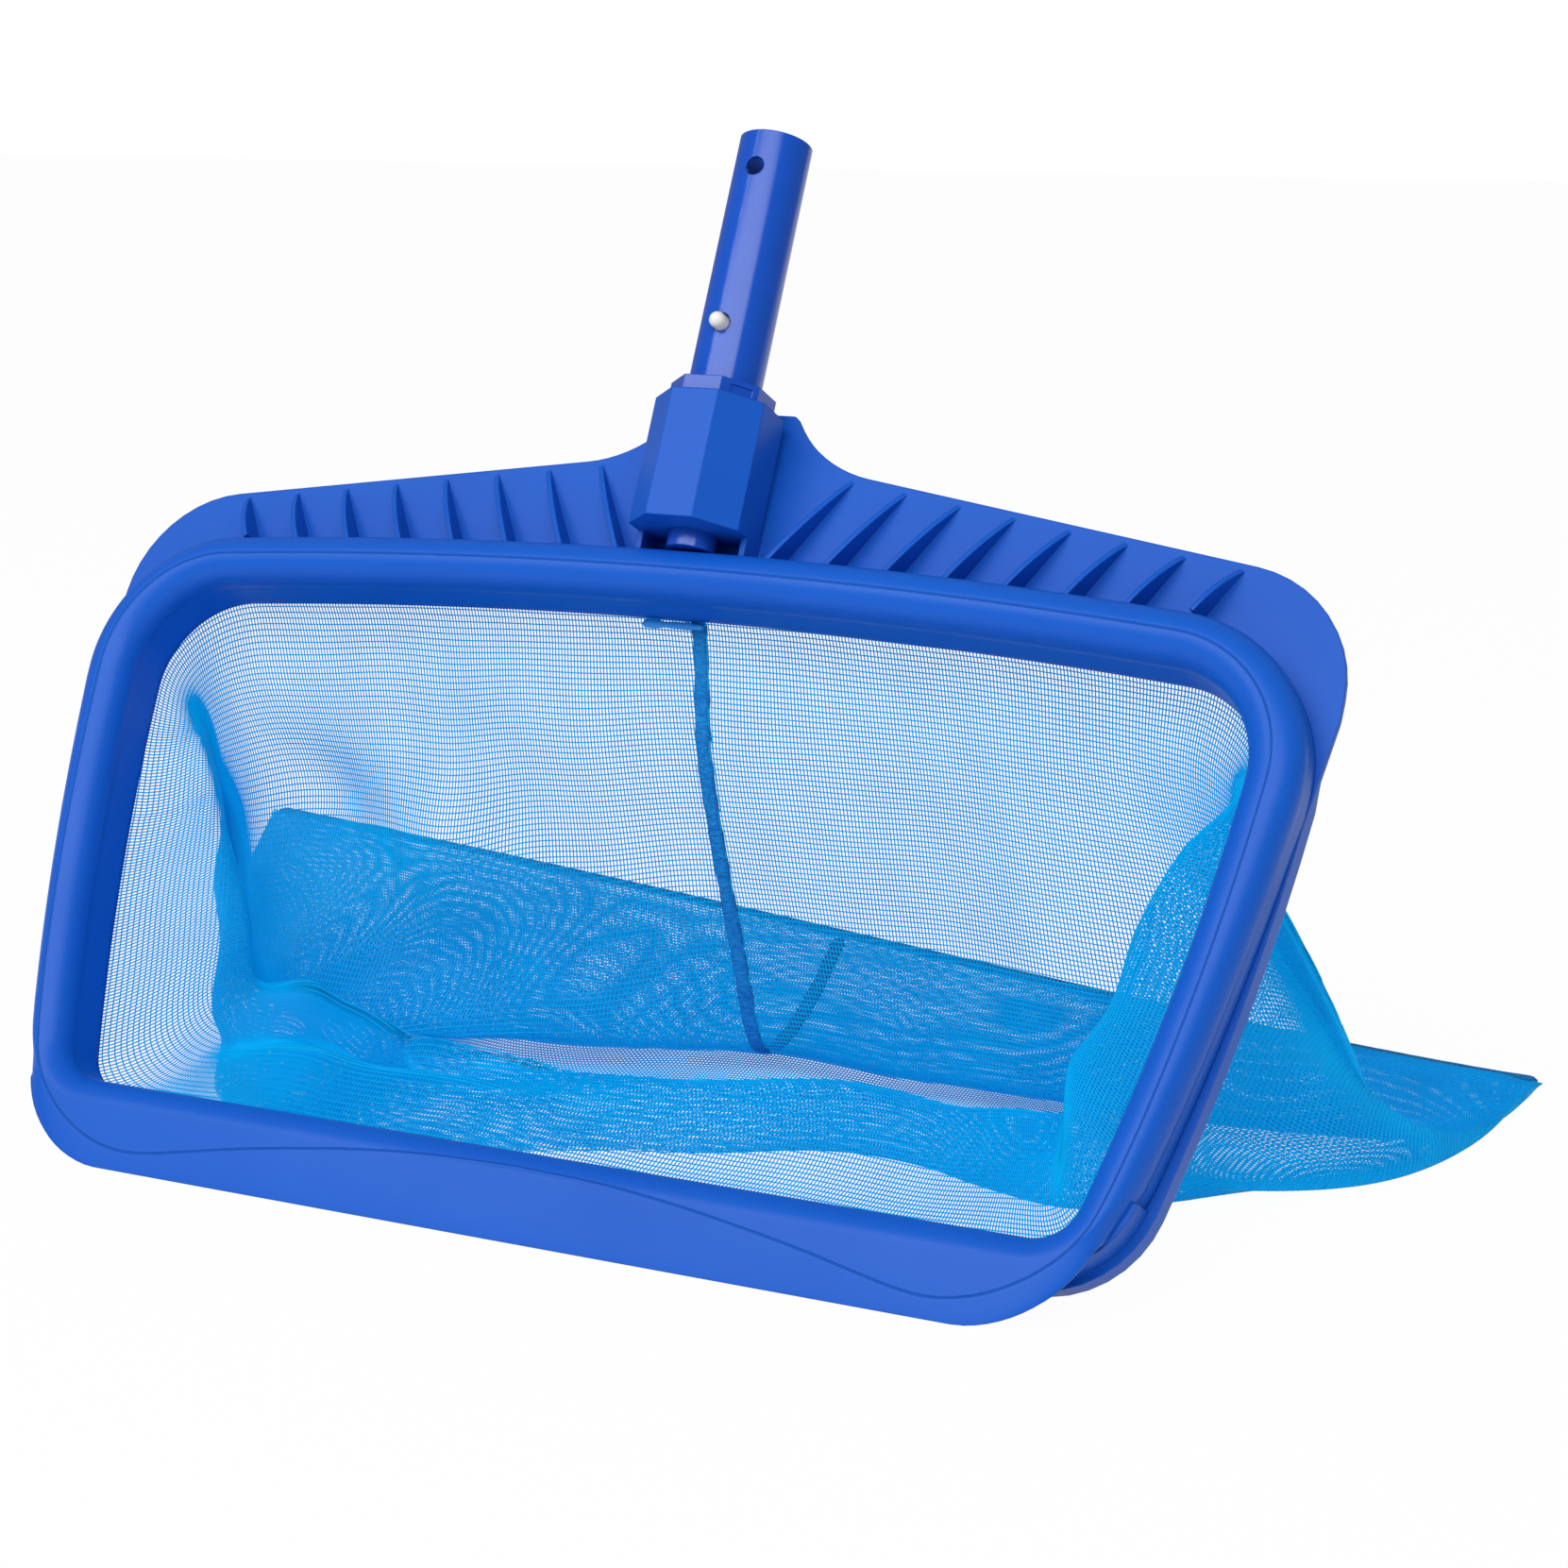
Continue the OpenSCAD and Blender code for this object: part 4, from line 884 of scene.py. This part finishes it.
def studioFloor():
    # white painted board; the lens sees it as clean white with a trace of shadow
    h = studio["floorHalf"]
    points = np.array([[[-h, -h, 0], [-h, h, 0]], [[h, -h, 0], [h, h, 0]]], float)
    floor = surface("studioFloor", points)
    material, t = newMaterial("whiteBoardPainted")
    path = addNode(t, "ShaderNodeLightPath")
    seen = addNode(t, "ShaderNodeMath", {"operation": "MAXIMUM"},
                   {0: (path, "Is Camera Ray"), 1: (path, "Is Glossy Ray")})
    through = addNode(t, "ShaderNodeMath", {"operation": "MAXIMUM"},
                      {0: (seen, 0), 1: (path, "Is Transmission Ray")})
    amount = addNode(t, "ShaderNodeMath", {"operation": "MULTIPLY", 1: studio["floorGlow"]},
                     {0: (through, 0)})
    board = addNode(t, "ShaderNodeBsdfDiffuse", {"Color": linear(studio["floor"])})
    glow = addNode(t, "ShaderNodeEmission", {"Color": pureWhite, "Strength": 1.0})
    mixed = addNode(t, "ShaderNodeMixShader", {}, {0: (amount, 0), 1: (board, 0), 2: (glow, 0)})
    addNode(t, "ShaderNodeOutputMaterial", {}, {"Surface": (mixed, 0)})
    setMaterial(floor, material)


def studioWorld():
    # a white room: clean white to the lens, softer as light and in reflections
    world = bpy.data.worlds.new("studio")
    bpy.context.scene.world = world
    world.use_nodes = True
    t = world.node_tree
    t.nodes.clear()
    path = addNode(t, "ShaderNodeLightPath")
    seen = addNode(t, "ShaderNodeMath", {"operation": "MAXIMUM"},
                   {0: (path, "Is Camera Ray"), 1: (path, "Is Transmission Ray")})
    room, mirror, clean = (
        addNode(t, "ShaderNodeBackground", {"Color": pureWhite, "Strength": strength})
        for strength in (studio["room"], studio["mirror"], 1.0))
    dim = addNode(t, "ShaderNodeMixShader", {},
                  {0: (path, "Is Glossy Ray"), 1: (room, 0), 2: (mirror, 0)})
    mixed = addNode(t, "ShaderNodeMixShader", {}, {0: (seen, 0), 1: (dim, 0), 2: (clean, 0)})
    addNode(t, "ShaderNodeOutputWorld", {}, {"Surface": (mixed, 0)})


def softBox(name, place, target, size, watts):
    # a rectangular lamp at a place, turned to face a target
    light = bpy.data.objects.new(name, bpy.data.lights.new(name, "AREA"))
    light.data.shape, light.data.energy = "RECTANGLE", watts
    light.data.size, light.data.size_y = size
    bpy.context.scene.collection.objects.link(light)
    aim = Vector(target) - Vector(place)
    facingIt = aim.to_track_quat("-Z", "Y").to_matrix().to_4x4()
    light.matrix_world = Matrix.Translation(place) @ facingIt


studioFloor()
studioWorld()
for name in ("keyBox", "stripBox"):
    softBox(name, *studio[name])
bpy.context.scene.view_settings.view_transform = "Standard"
print("stage 5: floor, light and camera")
